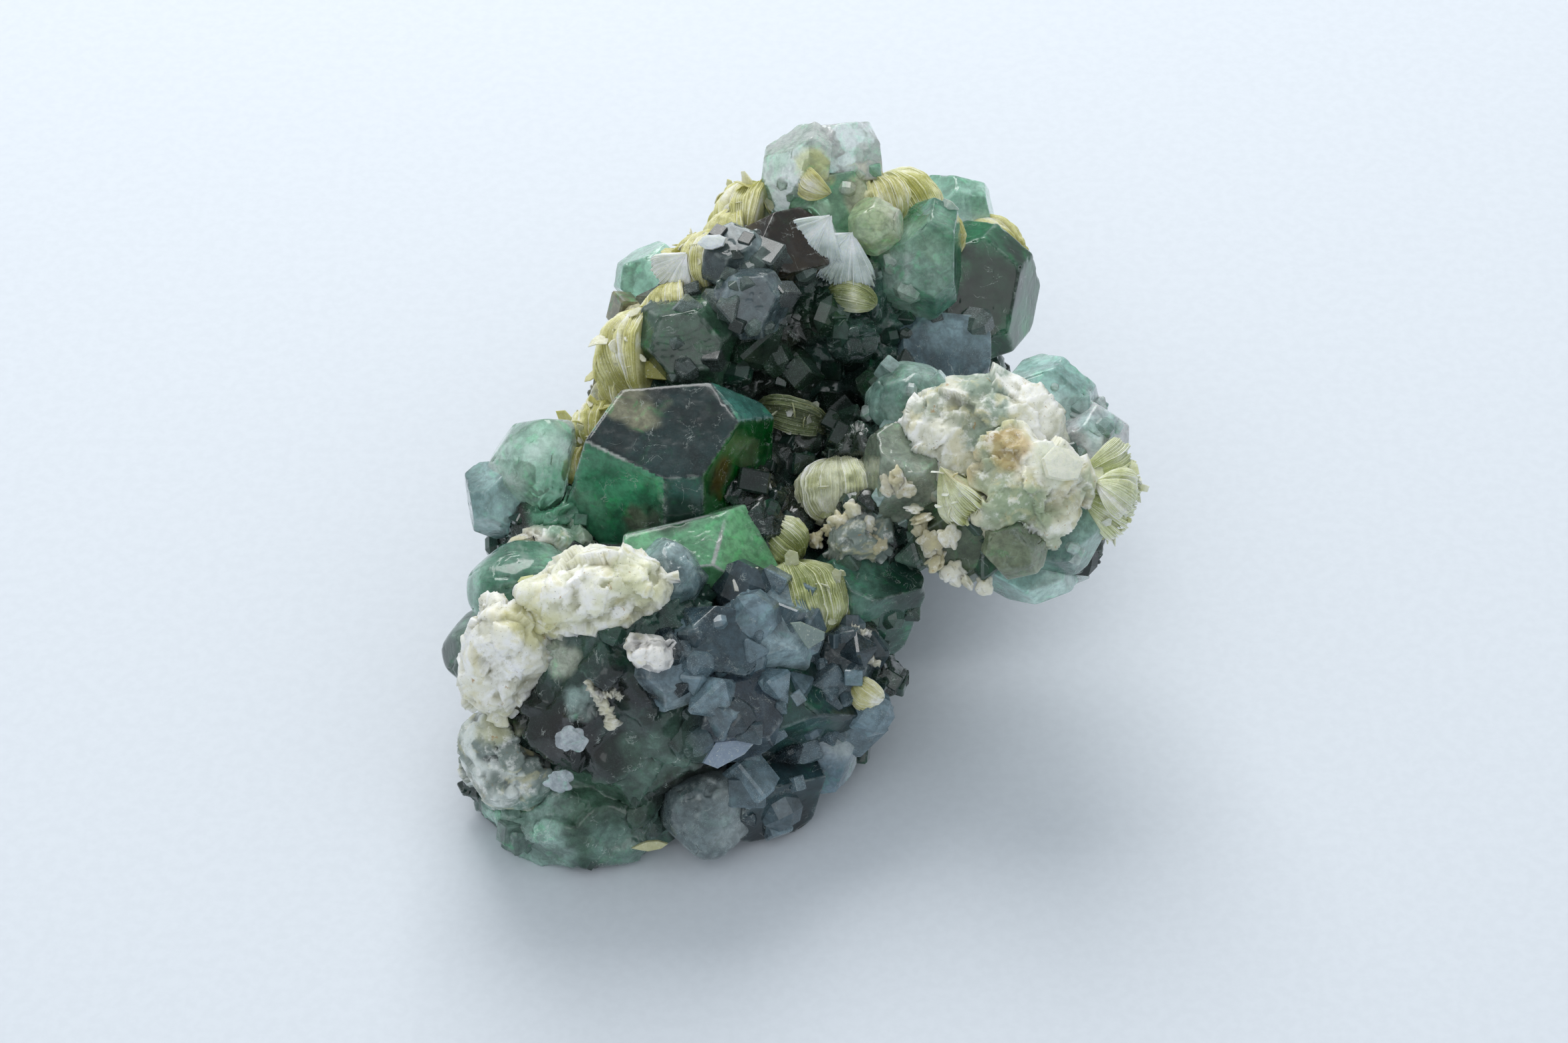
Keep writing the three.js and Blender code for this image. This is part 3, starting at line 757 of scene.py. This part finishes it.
def crystal_material(name, clear, soft, gloss, frosting, depth, veiled, green,
                     scatter=(0.4, 1.0, 0.6)):
    """Fluorite: colour zones under a skin with pits, frosting and whitened edges."""
    s = Shader(name)
    tint = s.attribute("tint", "Color")
    frost = s.attribute("frost")
    edge = s.attribute("edge")
    veil = s.range(s.noise(0.3, 6, 0.62, 1.4), 0.5, 0.7)
    colour = s.mix(s.times(veil, 0.4), tint, s.mix(veiled, tint, FROST))
    glint = s.range(s.noise(0.5, 4, 0.6, 1.2), 0.54, 0.68, 0.0, green)
    colour = s.mix(glint, colour, s.tinted(colour, GREEN_GLINT))
    mottle = s.range(s.noise(1.3, 6, 0.7, 0.4), 0.34, 0.66, 0.72, 1.22)
    colour = s.tinted(colour, s.grey(mottle))
    off_middle = s.math("ABSOLUTE", s.math("SUBTRACT", s.noise(0.42, 5, 0.6, 1.0), 0.5))
    crack = s.times(s.range(off_middle, 0.0, 0.012, 1.0, 0.0), 0.5)
    crack = s.times(crack, s.range(s.noise(0.6, 2, 0.5), 0.5, 0.62))
    colour = s.mix(crack, colour, RIM)
    dark = s.range(s.noise(0.24, 4, 0.55, 0.6), 0.32, 0.62, depth, 1.15)
    colour = s.tinted(colour, s.grey(dark))
    speck = s.range(s.noise(3.4, 6, 0.75), 0.52, 0.68)
    grit = s.range(s.noise(9.0, 2, 0.5), 0.55, 0.68)
    patchy = s.range(s.noise(0.35, 3, 0.5), 0.35, 0.6, 0.4, 1.0)
    frosted = s.times(s.math("MAXIMUM", s.times(speck, 0.5), grit), patchy)
    frosted = s.times(s.times(frost, frosted), frosting)
    colour = s.mix(frosted, colour, FROST)
    worn = s.times(edge, s.range(s.noise(1.3, 4, 0.6), 0.42, 0.68))
    colour = s.mix(s.times(worn, 0.3), colour, RIM)
    rough = s.range(s.noise(0.8, 4, 0.6), 0.3, 0.75, gloss, gloss + 0.18)
    rough = s.math("ADD", rough, s.times(frosted, 0.3))
    pits = s.range(s.cells(1.7), 0.0, 0.4)
    normal = s.bump(pits, 0.08, 0.03)
    normal = s.bump(s.noise(0.3, 2, 0.4, 0.5), 0.2, 0.2, normal)
    normal = s.bump(s.noise(9.0, 3, 0.6), 0.15, 0.02, normal)
    return s.finish(Base_Color=colour, Roughness=rough, Normal=normal, IOR=1.434,
                    Transmission_Weight=clear, Subsurface_Weight=soft, Subsurface_Scale=1.6 * MM,
                    Subsurface_Radius=scatter, Coat_Weight=0.4, Coat_Roughness=0.04)


def mica_material(name, sheen, shade):
    """Mica: fine sheet edges with a pearly shine."""
    s = Shader(name)
    tint = s.attribute("tint", "Color")
    streak = s.range(s.noise(1.8, 6, 0.75, 0.8), 0.4, 0.65, 0.0, 0.45)
    colour = s.mix(streak, tint, s.tinted(tint, shade))
    fleck = s.range(s.noise(4.0, 5, 0.75), 0.56, 0.68, 0.0, 0.7)
    colour = s.mix(fleck, colour, rgb("f1f1e2"))
    rough = s.range(s.noise(2.2, 4, 0.6), 0.3, 0.7, 0.25, 0.5)
    normal = s.bump(s.noise(3.0, 6, 0.75, 0.4), 0.7, 0.1)
    return s.finish(Base_Color=colour, Roughness=rough, Normal=normal, IOR=1.58,
                    Subsurface_Weight=0.35, Subsurface_Scale=0.8 * MM,
                    Subsurface_Radius=(1.0, 0.9, 0.4), Coat_Weight=sheen, Coat_Roughness=0.25)


# Speckles on a crust: bumps to the millimetre, detail, roughness and distortion of their noise,
# where on it they start and are full, how strong they are and their colour.
SPECKLES = [
    (0.9, 5, 0.65, 0.0, 0.5, 0.66, 0.6, "f6f6f2"),
    (0.35, 4, 0.6, 0.8, 0.52, 0.66, 0.5, "d3cb9a"),
    (1.3, 5, 0.7, 0.5, 0.63, 0.7, 0.75, "ab8550"),
    (5.0, 3, 0.7, 0.0, 0.64, 0.7, 0.7, "55564c"),
]


def crust_material(name):
    """Feldspar and quartz grains: dull, a little translucent, speckled."""
    s = Shader(name)
    tint = s.attribute("tint", "Color")
    shade = s.tinted(tint, (0.5, 0.47, 0.38))
    colour = s.mix(s.range(s.noise(1.9, 6, 0.75), 0.5, 0.7, 0.0, 0.3), tint, shade)
    for *grain, low, high, strength, speckle in SPECKLES:
        colour = s.mix(s.range(s.noise(*grain), low, high, 0.0, strength), colour, rgb(speckle))
    rough = s.range(s.noise(1.8, 4, 0.6), 0.3, 0.7, 0.35, 0.75)
    normal = s.bump(s.noise(1.2, 5, 0.55), 0.22, 0.2)
    normal = s.bump(s.noise(6.0, 5, 0.7), 0.3, 0.03, normal)
    return s.finish(Base_Color=colour, Roughness=rough, Normal=normal, IOR=1.53,
                    Subsurface_Weight=0.6, Subsurface_Scale=1.4 * MM,
                    Subsurface_Radius=(1.0, 0.98, 0.8), Coat_Weight=0.2, Coat_Roughness=0.3)


def floor_material():
    """A smooth pale board with a very faint grain."""
    s = Shader("floor_board")
    colour = s.mix(s.range(s.noise(0.9, 5, 0.6), 0.35, 0.65), rgb("dbe1e8"), rgb("dee4eb"))
    normal = s.bump(s.noise(2.2, 4, 0.6), 0.12, 0.05)
    return s.finish(Base_Color=colour, Roughness=0.75, Normal=normal, IOR=1.4)


# For each fluorite its slot in the record, then how clear, soft, rough and frosted it is, how dark
# its zones are, its veils, its green glint and how far red, green and blue spread inside it.
FLUORITES = {
    "dark": ("dark_green_fluorite", 0.35, 0.0, 0.06, 0.3, 0.5, 0.1, 0.7),
    "emerald": ("emerald_fluorite", 0.4, 0.3, 0.06, 0.4, 0.75, 0.25, 0.3),
    "smoky": ("smoky_fluorite", 0.35, 0.1, 0.1, 0.6, 0.5, 0.3, 0.1, (0.6, 0.8, 1.0)),
    "teal": ("teal_fluorite", 0.5, 0.25, 0.07, 0.45, 0.75, 0.4, 0.25, (0.5, 1.0, 0.8)),
    "pale": ("pale_fluorite", 0.6, 0.25, 0.05, 0.45, 0.85, 0.5, 0.4, (0.7, 1.0, 0.8)),
    "massive": ("massive_fluorite", 0.0, 0.2, 0.06, 0.4, 0.5, 0.15, 0.35),
}
# The material and the slot of each look.
LOOKS = {
    look: (crystal_material(f"fluorite_{look}", *numbers), slot)
    for look, (slot, *numbers) in FLUORITES.items()
}
LOOKS["yellow"] = (mica_material("mica_yellow", 0.25, (0.62, 0.6, 0.4)), "yellow_mica")
LOOKS["silver"] = (mica_material("mica_silver", 0.4, (0.7, 0.75, 0.75)), "silver_mica")
LOOKS["feldspar"] = (crust_material("feldspar_crust"), "feldspar_crust")
LOOKS["tan"] = (LOOKS["feldspar"][0], "tan_crust")

# ---- the crystals ----
# Name, look, deep and glowing colours, how frosted it is and how sharp its edges are.
CRYSTALS = """\
brown_crystal dark 241a0c 4f431f 0.2 90
shoulder_crystal dark 1f3527 4a6b57 0.3 80
back_great_crystal dark 143221 2f7350 0.05 80
front_side_crystal dark 35493f 647e70 0.5 20
right_dark_crystal dark 1a2f32 2f514c 0.35 90
lower_block_crystal dark 16252a 2d464c 0.4 90
right_wall_crystal dark 26443a 558070 0.3 80
arm_dark_crystal dark 56664f 94a487 0.4 60
arm_side_crystal teal 5c857a 93bbae 0.4 60
back_green_crystal emerald 7fc4a4 d0f2e4 0.4 50
lilac_crystal smoky 4a5e64 7f949b 0.5 90
grey_ridge_crystal smoky 4b5f60 7e9598 0.6 60
purple_crystal smoky 4c6b77 88a8b3 0.7 70
grey_ball_crystal smoky 6b8b91 a9c6c9 0.9 22
frosted_crystal smoky 5f808c a5c2ca 0.8 80
blue_prism smoky 36505c 86a8b2 0.7 100
blue_white_crystal smoky 6c8896 b9cfd8 0.8 60
violet_crystal smoky 2f4250 58707c 0.5 100
bottom_disc_crystal smoky 67797c a3b1b2 0.7 20
round_dark_crystal smoky 24363c 516c70 0.4 50
left_back_crystal teal 9ccfb6 daf2e6 0.5 50
left_grey_crystal teal 6a8c8a 9fbfbd 0.8 45
front_dome_crystal teal 4f8a70 9cc9b4 0.7 16
curved_glass_crystal teal 8cb3b8 d3e8ea 0.5 60
arm_back_crystal teal 7aa596 b9d6cb 0.6 30
arm_top_crystal teal 95c2b8 d6efe8 0.7 50
arm_right_crystal teal c0e2d9 f2fbf8 0.6 40
arm_bottom_crystal teal 86b5aa c6e4da 0.6 40
arm_prism teal 8b9a85 cdd6c2 0.8 70
peak_crystal pale 8fc7a6 dcf0de 0.6 60
peak_side_crystal pale b4dccb f2fbf5 0.7 60
peak_root_crystal pale 8dbf9c dfeed2 0.5 45
mica_button_crystal pale b9cda5 ebf0d8 0.5 30
clear_crystal pale 4f8f74 b9dccb 0.5 70
left_pale_crystal pale 8fbaa2 d6ebdc 0.6 30
glass_wedge_crystal pale 7f9fb0 cfe0ea 0.4 60
arm_clear_crystal pale 8a9478 c9d2b4 0.5 35
"""
for row in CRYSTALS.splitlines():
    *names, frost, sharp = row.split()
    build_crystal(*names, float(frost), float(sharp))

# The two big crystals get painted light and shade, a colour for each way a face looks: the way each
# face looks, as azimuth and elevation, its colour and how frosted it is. Rims are stretches of
# whitened edge.
build_crystal("great_dark_crystal", "dark", "152820", "244438", 0.3, 60, faces=[
    ((270, 76), "122a2a", 0.35),
    ((243, 14), "3f8a64", 0.15),
    ((274, 15), "11493c", 0.12),
    ((328, 9), "07551f", 0.1),
    ((17, 51), "3f736a", 0.5),
], rims=[((-17.5, 29.6, 31.0), 4.5), ((-19.0, 32.0, 31.0), 3.5)])
build_crystal("emerald_octahedron", "emerald", "5fae74", "93d6a4", 0.3, 60, faces=[
    ((255, 78), "5cba7c", 0.25),
    ((335, 44), "62c47c", 0.25),
    ((275, 0), "46a05e", 0.2),
], rims=[((-10.0, 21.0, 25.4), 6.0)])

# ---- the mica ----
# Name, place, turns, reach, root and fan as in part.mjs, then deep, body and rim colours and look
# where they aren't yellow. Those with no CAD node of that name fill gaps between the others.
OLIVE = ("7c874c", "bcc48c", "eceed8")
TASSEL = ("b9c284", "eaf0cf", "fdfefa")
SILVER = ("b3c0ba", "e6efee", "fdffff")
MICA = [
    ("front_mica_rosette", (0.8, 21.6, 17.6), (0, -50, 290), 6.0, 4.2, 124, OLIVE),
    ("saddle_mica_rosette", (5.6, 32.4, 21.6), (30, -50, 240), 5.2, 3.4, 116,
     ("a9ae7e", "e6e9cb", "fafbf4")),
    ("cavity_mica_leaf", (0.9, 40.4, 23.6), (80, -50, 262), 3.6, 3.6, 60,
     ("4a5636", "7d8c5e", "b5bd9a")),
    ("arm_mica_tassel", (26.4, 30.0, 24.8), (45, -5, -12), 6.4, 3.0, 104, TASSEL),
    ("arm_mica_fan", (15.6, 27.6, 29.0), (45, 20, 285), 5.2, 2.4, 60,
     ("adb374", "e2e7bf", "f8f9ee")),
    ("flank_mica_low", (-16.2, 37.0, 24.2), (80, -25, 170), 4.2, 3.0, 110),
    ("flank_mica_middle", (-11.6, 42.6, 28.6), (70, -20, 175), 6.2, 4.8, 100),
    ("flank_mica_high", (-6.0, 51.2, 32.8), (50, -15, 190), 4.8, 3.6, 110),
    ("ridge_mica", (-1.8, 56.4, 33.4), (70, -30, 175), 5.2, 4.2, 110),
    ("crown_mica", (11.2, 60.4, 31.6), (20, -50, 280), 5.2, 4.2, 124,
     ("b3b36a", "e8e8b8", "fcfbf2")),
    ("back_mica", (20.2, 65.6, 21.0), (80, -50, 70), 4.8, 3.8, 110),
    ("flank_mica_bit_one", (-18.6, 33.6, 23.2), (60, -30, 190), 3.0, 2.2, 100),
    ("flank_mica_bit_two", (-14.0, 39.6, 26.8), (95, -10, 150), 3.8, 2.6, 104),
    ("flank_mica_bit_three", (-9.4, 46.8, 31.2), (60, -30, 200), 4.0, 2.8, 110),
    ("ridge_mica_bit_one", (-8.0, 49.2, 33.2), (85, -20, 160), 2.8, 2.2, 100),
    ("ridge_mica_bit_two", (-4.0, 54.0, 34.4), (45, -30, 210), 3.6, 2.6, 100),
    ("crown_mica_bit", (7.2, 60.6, 34.2), (30, -40, 250), 4.0, 3.0, 116),
    ("crown_mica_low", (14.6, 57.4, 31.0), (10, -60, 300), 3.4, 2.6, 110),
    ("peak_mica_bit", (3.4, 56.6, 38.8), (80, -30, 225), 2.4, 1.6, 80),
    ("peak_mica_low", (9.4, 57.6, 35.4), (25, -50, 265), 3.4, 2.6, 110),
    ("saddle_mica_bit", (-0.4, 26.8, 20.6), (40, -45, 280), 3.4, 2.4, 110, OLIVE),
    ("front_mica_bit", (-1.6, 19.6, 20.6), (30, -50, 260), 2.4, 1.8, 100, OLIVE),
    ("fan_mica_bit", (6.4, 48.8, 31.0), (80, -60, 265), 2.2, 2.4, 100, OLIVE),
    ("wall_mica_bit", (7.8, 14.8, 13.8), (70, -20, 250), 2.2, 1.6, 110),
    ("tassel_mica_bit", (29.6, 27.4, 26.6), (30, -30, 320), 3.0, 2.0, 110, TASSEL),
    ("silver_mica_fan", (6.2, 52.6, 36.0), (-30, 37, 232), 5.4, 1.6, 120, SILVER, "silver"),
    ("silver_fan_bit", (4.4, 53.2, 37.4), (-26, 37, 226), 4.8, 1.8, 100, SILVER, "silver"),
    ("white_fan_bit", (-9.0, 50.0, 35.6), (-30, 37, 215), 3.8, 1.2, 90,
     ("c3c9bd", "eef1ec", "fdffff"), "silver"),
]
for row in MICA:
    build_mica(*row)

# ---- crusts and matrix ----
# Colours of a crust's hollows, which are a painted shade, then its body and pale grains.
CREAM = ("a6a48c", "e6e5d6", "fcfcf8")
build_crust("front_crust_wall", CREAM)
build_crust("front_crust_ridge", ("b0b092", "e9e9d2", "fcfcf4"), lumps=0.8)
build_crust("speckled_crust", ("2a332f", "7d8a84", "d6ddd8"), "tan", 0.5, "333b36")
build_crust("feldspar_chip", ("9d9c9a", "dad9d6", "f8f4ee"), lumps=0.5)
build_crust("left_tan_crust", ("8f8a76", "cfcdbc", "eeeee4"), "tan")
build_crust("saddle_crust", ("808b85", "bcc7c2", "eceeea"), lumps=0.5, patch="66756d")
build_crust("arm_crust_face", ("9a9a80", "dcdccb", "f8f8f0"), patch="8ba08f")
build_crust("arm_feldspar", ("a8a588", "dedcc2", "f8f8ec"), patch="a3ae90")
build_matrix()

points, faces, _ = joined([node_arrays(n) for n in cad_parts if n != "fluorite_matrix"])
neighbours = BVHTree.FromPolygons(points.tolist(), faces.tolist())


def clear_of_neighbours(spot, normal, size):
    """True where a small crystal would not stand deep in a larger piece."""
    return neighbours.find_nearest(Vector(spot))[3] > 0.5 * size


def on_broken_ground(spot, normal, size):
    """True outside the glassy front of the matrix, where small crystals are crowded."""
    place, radius = FRONT_LUMP
    glassy = norm(spot - here(place)) < radius and spot[2] > 4
    return not glassy and clear_of_neighbours(spot, normal, size)


VUG = ((4.0, 43.0, 27.0), (12, 10, 11))


def in_vug(spot, normal, size):
    """True in and around the vug, where the druse is coarser."""
    place, reach = VUG
    near = norm((spot - here(place)) / reach) < 1
    return near and clear_of_neighbours(spot, normal, size)


def anywhere(spot, normal, size):
    """True on every side but the underside."""
    return normal[2] > -0.6


FRONT = ["frosted_crystal", "violet_crystal", "blue_prism", "right_dark_crystal",
         "round_dark_crystal", "lower_block_crystal", "blue_white_crystal", "curved_glass_crystal"]
RIDGE = ["shoulder_crystal", "lilac_crystal", "grey_ridge_crystal", "brown_crystal",
         "purple_crystal"]
PEAK = ["peak_crystal", "peak_side_crystal", "peak_root_crystal", "clear_crystal"]
ARM = ["arm_prism", "arm_top_crystal", "arm_right_crystal", "arm_back_crystal",
       "arm_bottom_crystal", "arm_side_crystal"]
WALL = ["right_wall_crystal", "arm_dark_crystal"]
MATRIX = ["fluorite_matrix"]
# Name, hosts, tries on each host, sizes, colours, look, seed and where it may grow.
DRUSES = [
    ("dark_druse", MATRIX, 1300, (0.5, 1.5), ("13201b", "36564a"), "dark", 11, on_broken_ground),
    ("vug_druse", MATRIX, 420, (1.3, 3.2), ("1c2a20", "4a6a54"), "dark", 13, in_vug),
    ("pale_druse", MATRIX, 120, (0.4, 1.0), ("33473f", "6f897d"), "teal", 12, on_broken_ground),
    ("front_satellites", FRONT, 30, (0.6, 2.1), ("22323a", "8fa9b5"), "smoky", 41, anywhere),
    ("ridge_satellites", RIDGE, 20, (0.5, 1.6), ("2a3530", "75867f"), "smoky", 42, anywhere),
    ("peak_satellites", PEAK, 6, (0.5, 1.3), ("a9d6bd", "e9f6ec"), "pale", 43, anywhere),
    ("arm_satellites", ARM, 10, (0.4, 1.3), ("a9cbc4", "e6f4ef"), "teal", 44, anywhere),
    ("wall_satellites", WALL, 30, (0.4, 1.4), ("2a3f36", "6b8a7b"), "dark", 45, anywhere),
]
for row in DRUSES:
    build_druse(*row)

# Single mica chips: look, place, normal, direction, length, width, thickness and colour.
random = np.random.default_rng(51)  # drawn from in turn by the chips, twigs and crumbs
CHIPS = [
    ("silver", (-4.9, 6.2, 15.2), (0.1, -0.9, 0.45), (1, 0, 0.4), 5.2, 3.4, 0.7, "8998aa"),
    ("silver", (-6.8, 48.6, 38.4), (-0.2, -0.7, 0.7), (1, 0, 0.2), 3.4, 2.2, 0.8, "eef3f4"),
    ("yellow", (-11.8, 40.4, 29.8), (0.0, -0.6, 0.8), (1, 0, -0.1), 5.2, 3.0, 0.5, "b8b552"),
    ("yellow", (-12.4, 4.9, 3.4), (0.1, -0.8, 0.4), (1, 0, 0.1), 3.6, 1.1, 0.5, "c4c49a"),
    ("silver", (-3.6, 18.4, 24.2), (0.1, -0.6, 0.8), (0.6, 0.5, 0.3), 3.8, 2.6, 0.5, "dcd9cc"),
    ("silver", (2.2, 14.4, 21.6), (0.3, -0.7, 0.6), (0.2, 0.5, -0.8), 5.2, 2.6, 0.35, "7f908c"),
    ("yellow", (-22.8, 17.0, 25.4), (0, -0.6, 0.8), (1, 0, 0.1), 2.8, 2.0, 0.8, "d8dba8"),
    ("silver", (25.0, 25.2, 32.2), (0.2, -0.6, 0.8), (1, 0, 0.3), 5.0, 3.6, 1.3, "f3f3e2"),
    ("yellow", (6.4, 51.0, 32.8), (0, -0.7, 0.7), (1, 0, 0), 3.4, 1.4, 0.6, "b5b762"),
]
for kind in ("silver", "yellow"):
    chosen = [chip for chip in CHIPS if chip[0] == kind]
    points, faces, owner = joined([
        plate(here(at), *shape, random, 0.05) for _, at, *shape, _ in chosen
    ])
    tint = np.array([rgb(chip[-1]) for chip in chosen])[owner]
    add_piece(f"{kind}_chips", points, faces, kind, flat=True, tint=tint)

# Twigs of crust: the points along each and its radius at them.
TWIGS = [
    ([(-17.6, 8.9, 21.4), (-16.4, 7.8, 20.3), (-15.6, 7.2, 18.8), (-15.2, 6.7, 17.7)],
     [0.35, 0.4, 0.5, 0.75]),
    ([(-16.4, 7.8, 20.3), (-15.2, 8.2, 20.6), (-14.4, 8.0, 20.0)], [0.35, 0.3, 0.2]),
    ([(6.0, 18.4, 18.0), (6.2, 17.4, 16.9), (7.2, 16.6, 15.8), (8.8, 16.4, 15.4)],
     [0.5, 0.45, 0.4, 0.25]),
    ([(6.0, 18.4, 18.0), (7.2, 18.2, 17.6), (7.9, 18.4, 17.2)], [0.5, 0.35, 0.2]),
]
points, faces, _ = joined([tube(*twig, random) for twig in TWIGS])
add_piece("crust_twigs", points, faces, "feldspar", tint=np.tile(rgb("cbc8b2"), (len(points), 1)))

# Crumbs of crust on the lower rim of the arm, its prism and the saddle.
CRUMBS = [
    (11.8, 25.0, 26.8), (12.4, 23.9, 25.3), (13.2, 22.7, 24.0), (13.8, 22.2, 22.9),
    (15.2, 21.4, 22.2), (16.6, 20.9, 21.6), (18.2, 20.8, 21.2), (13.6, 22.6, 24.9),
    (14.9, 22.4, 25.9), (10.3, 26.5, 29.3), (10.9, 26.2, 28.3), (9.6, 26.9, 28.2),
    (6.4, 26.5, 25.2), (5.3, 26.3, 24.0), (4.2, 26.4, 22.6), (3.0, 26.9, 21.0),
    (7.6, 25.6, 24.0), (8.2, 24.8, 22.6), (-2.4, 21.4, 21.6), (12.6, 24.4, 26.2),
]
crumbs = []
for i, at in enumerate(CRUMBS):
    lean = random.normal(size=3) * 0.4 + [0, -0.7, 0.6]
    crumbs.append(lens(at, lean, random.uniform(0.6, 1.05), random.uniform(0.3, 0.6), i + 60, 0.7))
points, faces, owner = joined(crumbs)
add_piece("crust_crumbs", points, faces, "feldspar",
          tint=blend(rgb("b5ac8a"), rgb("e6e4d2"), random.random(len(CRUMBS))[owner]))

points, faces, _ = joined([
    lens((-18.9, 5.7, 17.0), (0, -0.9, 0.4), 1.15, 0.4, 1, 0.4),
    lens((-20.2, 4.9, 12.4), (0, -1, 0.2), 1.2, 0.4, 2, 0.5),
])
add_piece("white_beads", points, faces, "pale", tint=np.tile(rgb("e3edf2"), (len(points), 1)),
          frost=np.full(len(points), 0.6), edge=np.zeros(len(points)))

LEFT_BAND = ["flank_mica_low", "flank_mica_middle", "flank_mica_high", "ridge_mica", "crown_mica"]
SADDLE = ["saddle_mica_rosette", "front_mica_rosette", "cavity_mica_leaf"]
build_flakes("ridge_flakes", LEFT_BAND, 26, (0.9, 2.6), ("c3bd6c", "f4f2e0"), 31)
build_flakes("saddle_flakes", SADDLE, 12, (0.7, 1.9), ("a3a973", "e8eadc"), 32)
build_flakes("arm_flakes", ["arm_mica_tassel", "arm_mica_fan"], 22, (0.8, 2.0),
             ("cfd4a0", "f6f8f2"), 33)

# ---- floor, light and camera ----
low, high = cad_box
middle = (low + high) / 2

FLOOR_SIZE = 1.2
board = bpy.data.meshes.new("floor")
corners = [(x * FLOOR_SIZE, y * FLOOR_SIZE, 0) for x, y in ((-1, -1), (1, -1), (1, 1), (-1, 1))]
board.from_pydata(corners, [], [(0, 1, 2, 3)])
board.materials.append(floor_material())
floor = bpy.data.objects.new("floor", board)
SCENE.collection.objects.link(floor)


def aimed(obj, place, target):
    """Puts a lamp or camera at a place, looking at a target."""
    obj.location = Vector(place)
    obj.rotation_euler = (Vector(target) - obj.location).to_track_quat("-Z", "Y").to_euler()
    SCENE.collection.objects.link(obj)
    return obj


def soft_light(name, place, size, power, colour):
    """A large square soft light, aimed at the specimen."""
    lamp = bpy.data.lights.new(name, "AREA")
    lamp.shape = "SQUARE"
    lamp.size = size
    lamp.energy = power
    lamp.color = colour
    return aimed(bpy.data.objects.new(name, lamp), place, middle)


soft_light("key_light", (-0.06, 0.37, 0.43), 0.36, 2.1, (1.0, 0.995, 0.99))
soft_light("front_light", (-0.1, -0.4, 0.5), 0.4, 0.45, (0.97, 0.99, 1.0))

world = bpy.data.worlds.new("studio")
world.use_nodes = True
background = world.node_tree.nodes["Background"].inputs
background["Color"].default_value = (0.89, 0.95, 1.0, 1.0)
background["Strength"].default_value = 0.62
SCENE.world = world
SCENE.view_settings.view_transform = "Standard"

CAMERA_AIM = Vector(here((0, 25.1, 25.1))) * MM
CAMERA_DISTANCE = 0.3374
CAMERA_RISE = math.radians(45)
camera = bpy.data.cameras.new("camera")
camera.lens = 85
camera.sensor_width = 36
camera.clip_start = 0.01
eye = CAMERA_AIM + CAMERA_DISTANCE * Vector((0, -math.cos(CAMERA_RISE), math.sin(CAMERA_RISE)))
SCENE.camera = aimed(bpy.data.objects.new("camera", camera), eye, CAMERA_AIM)
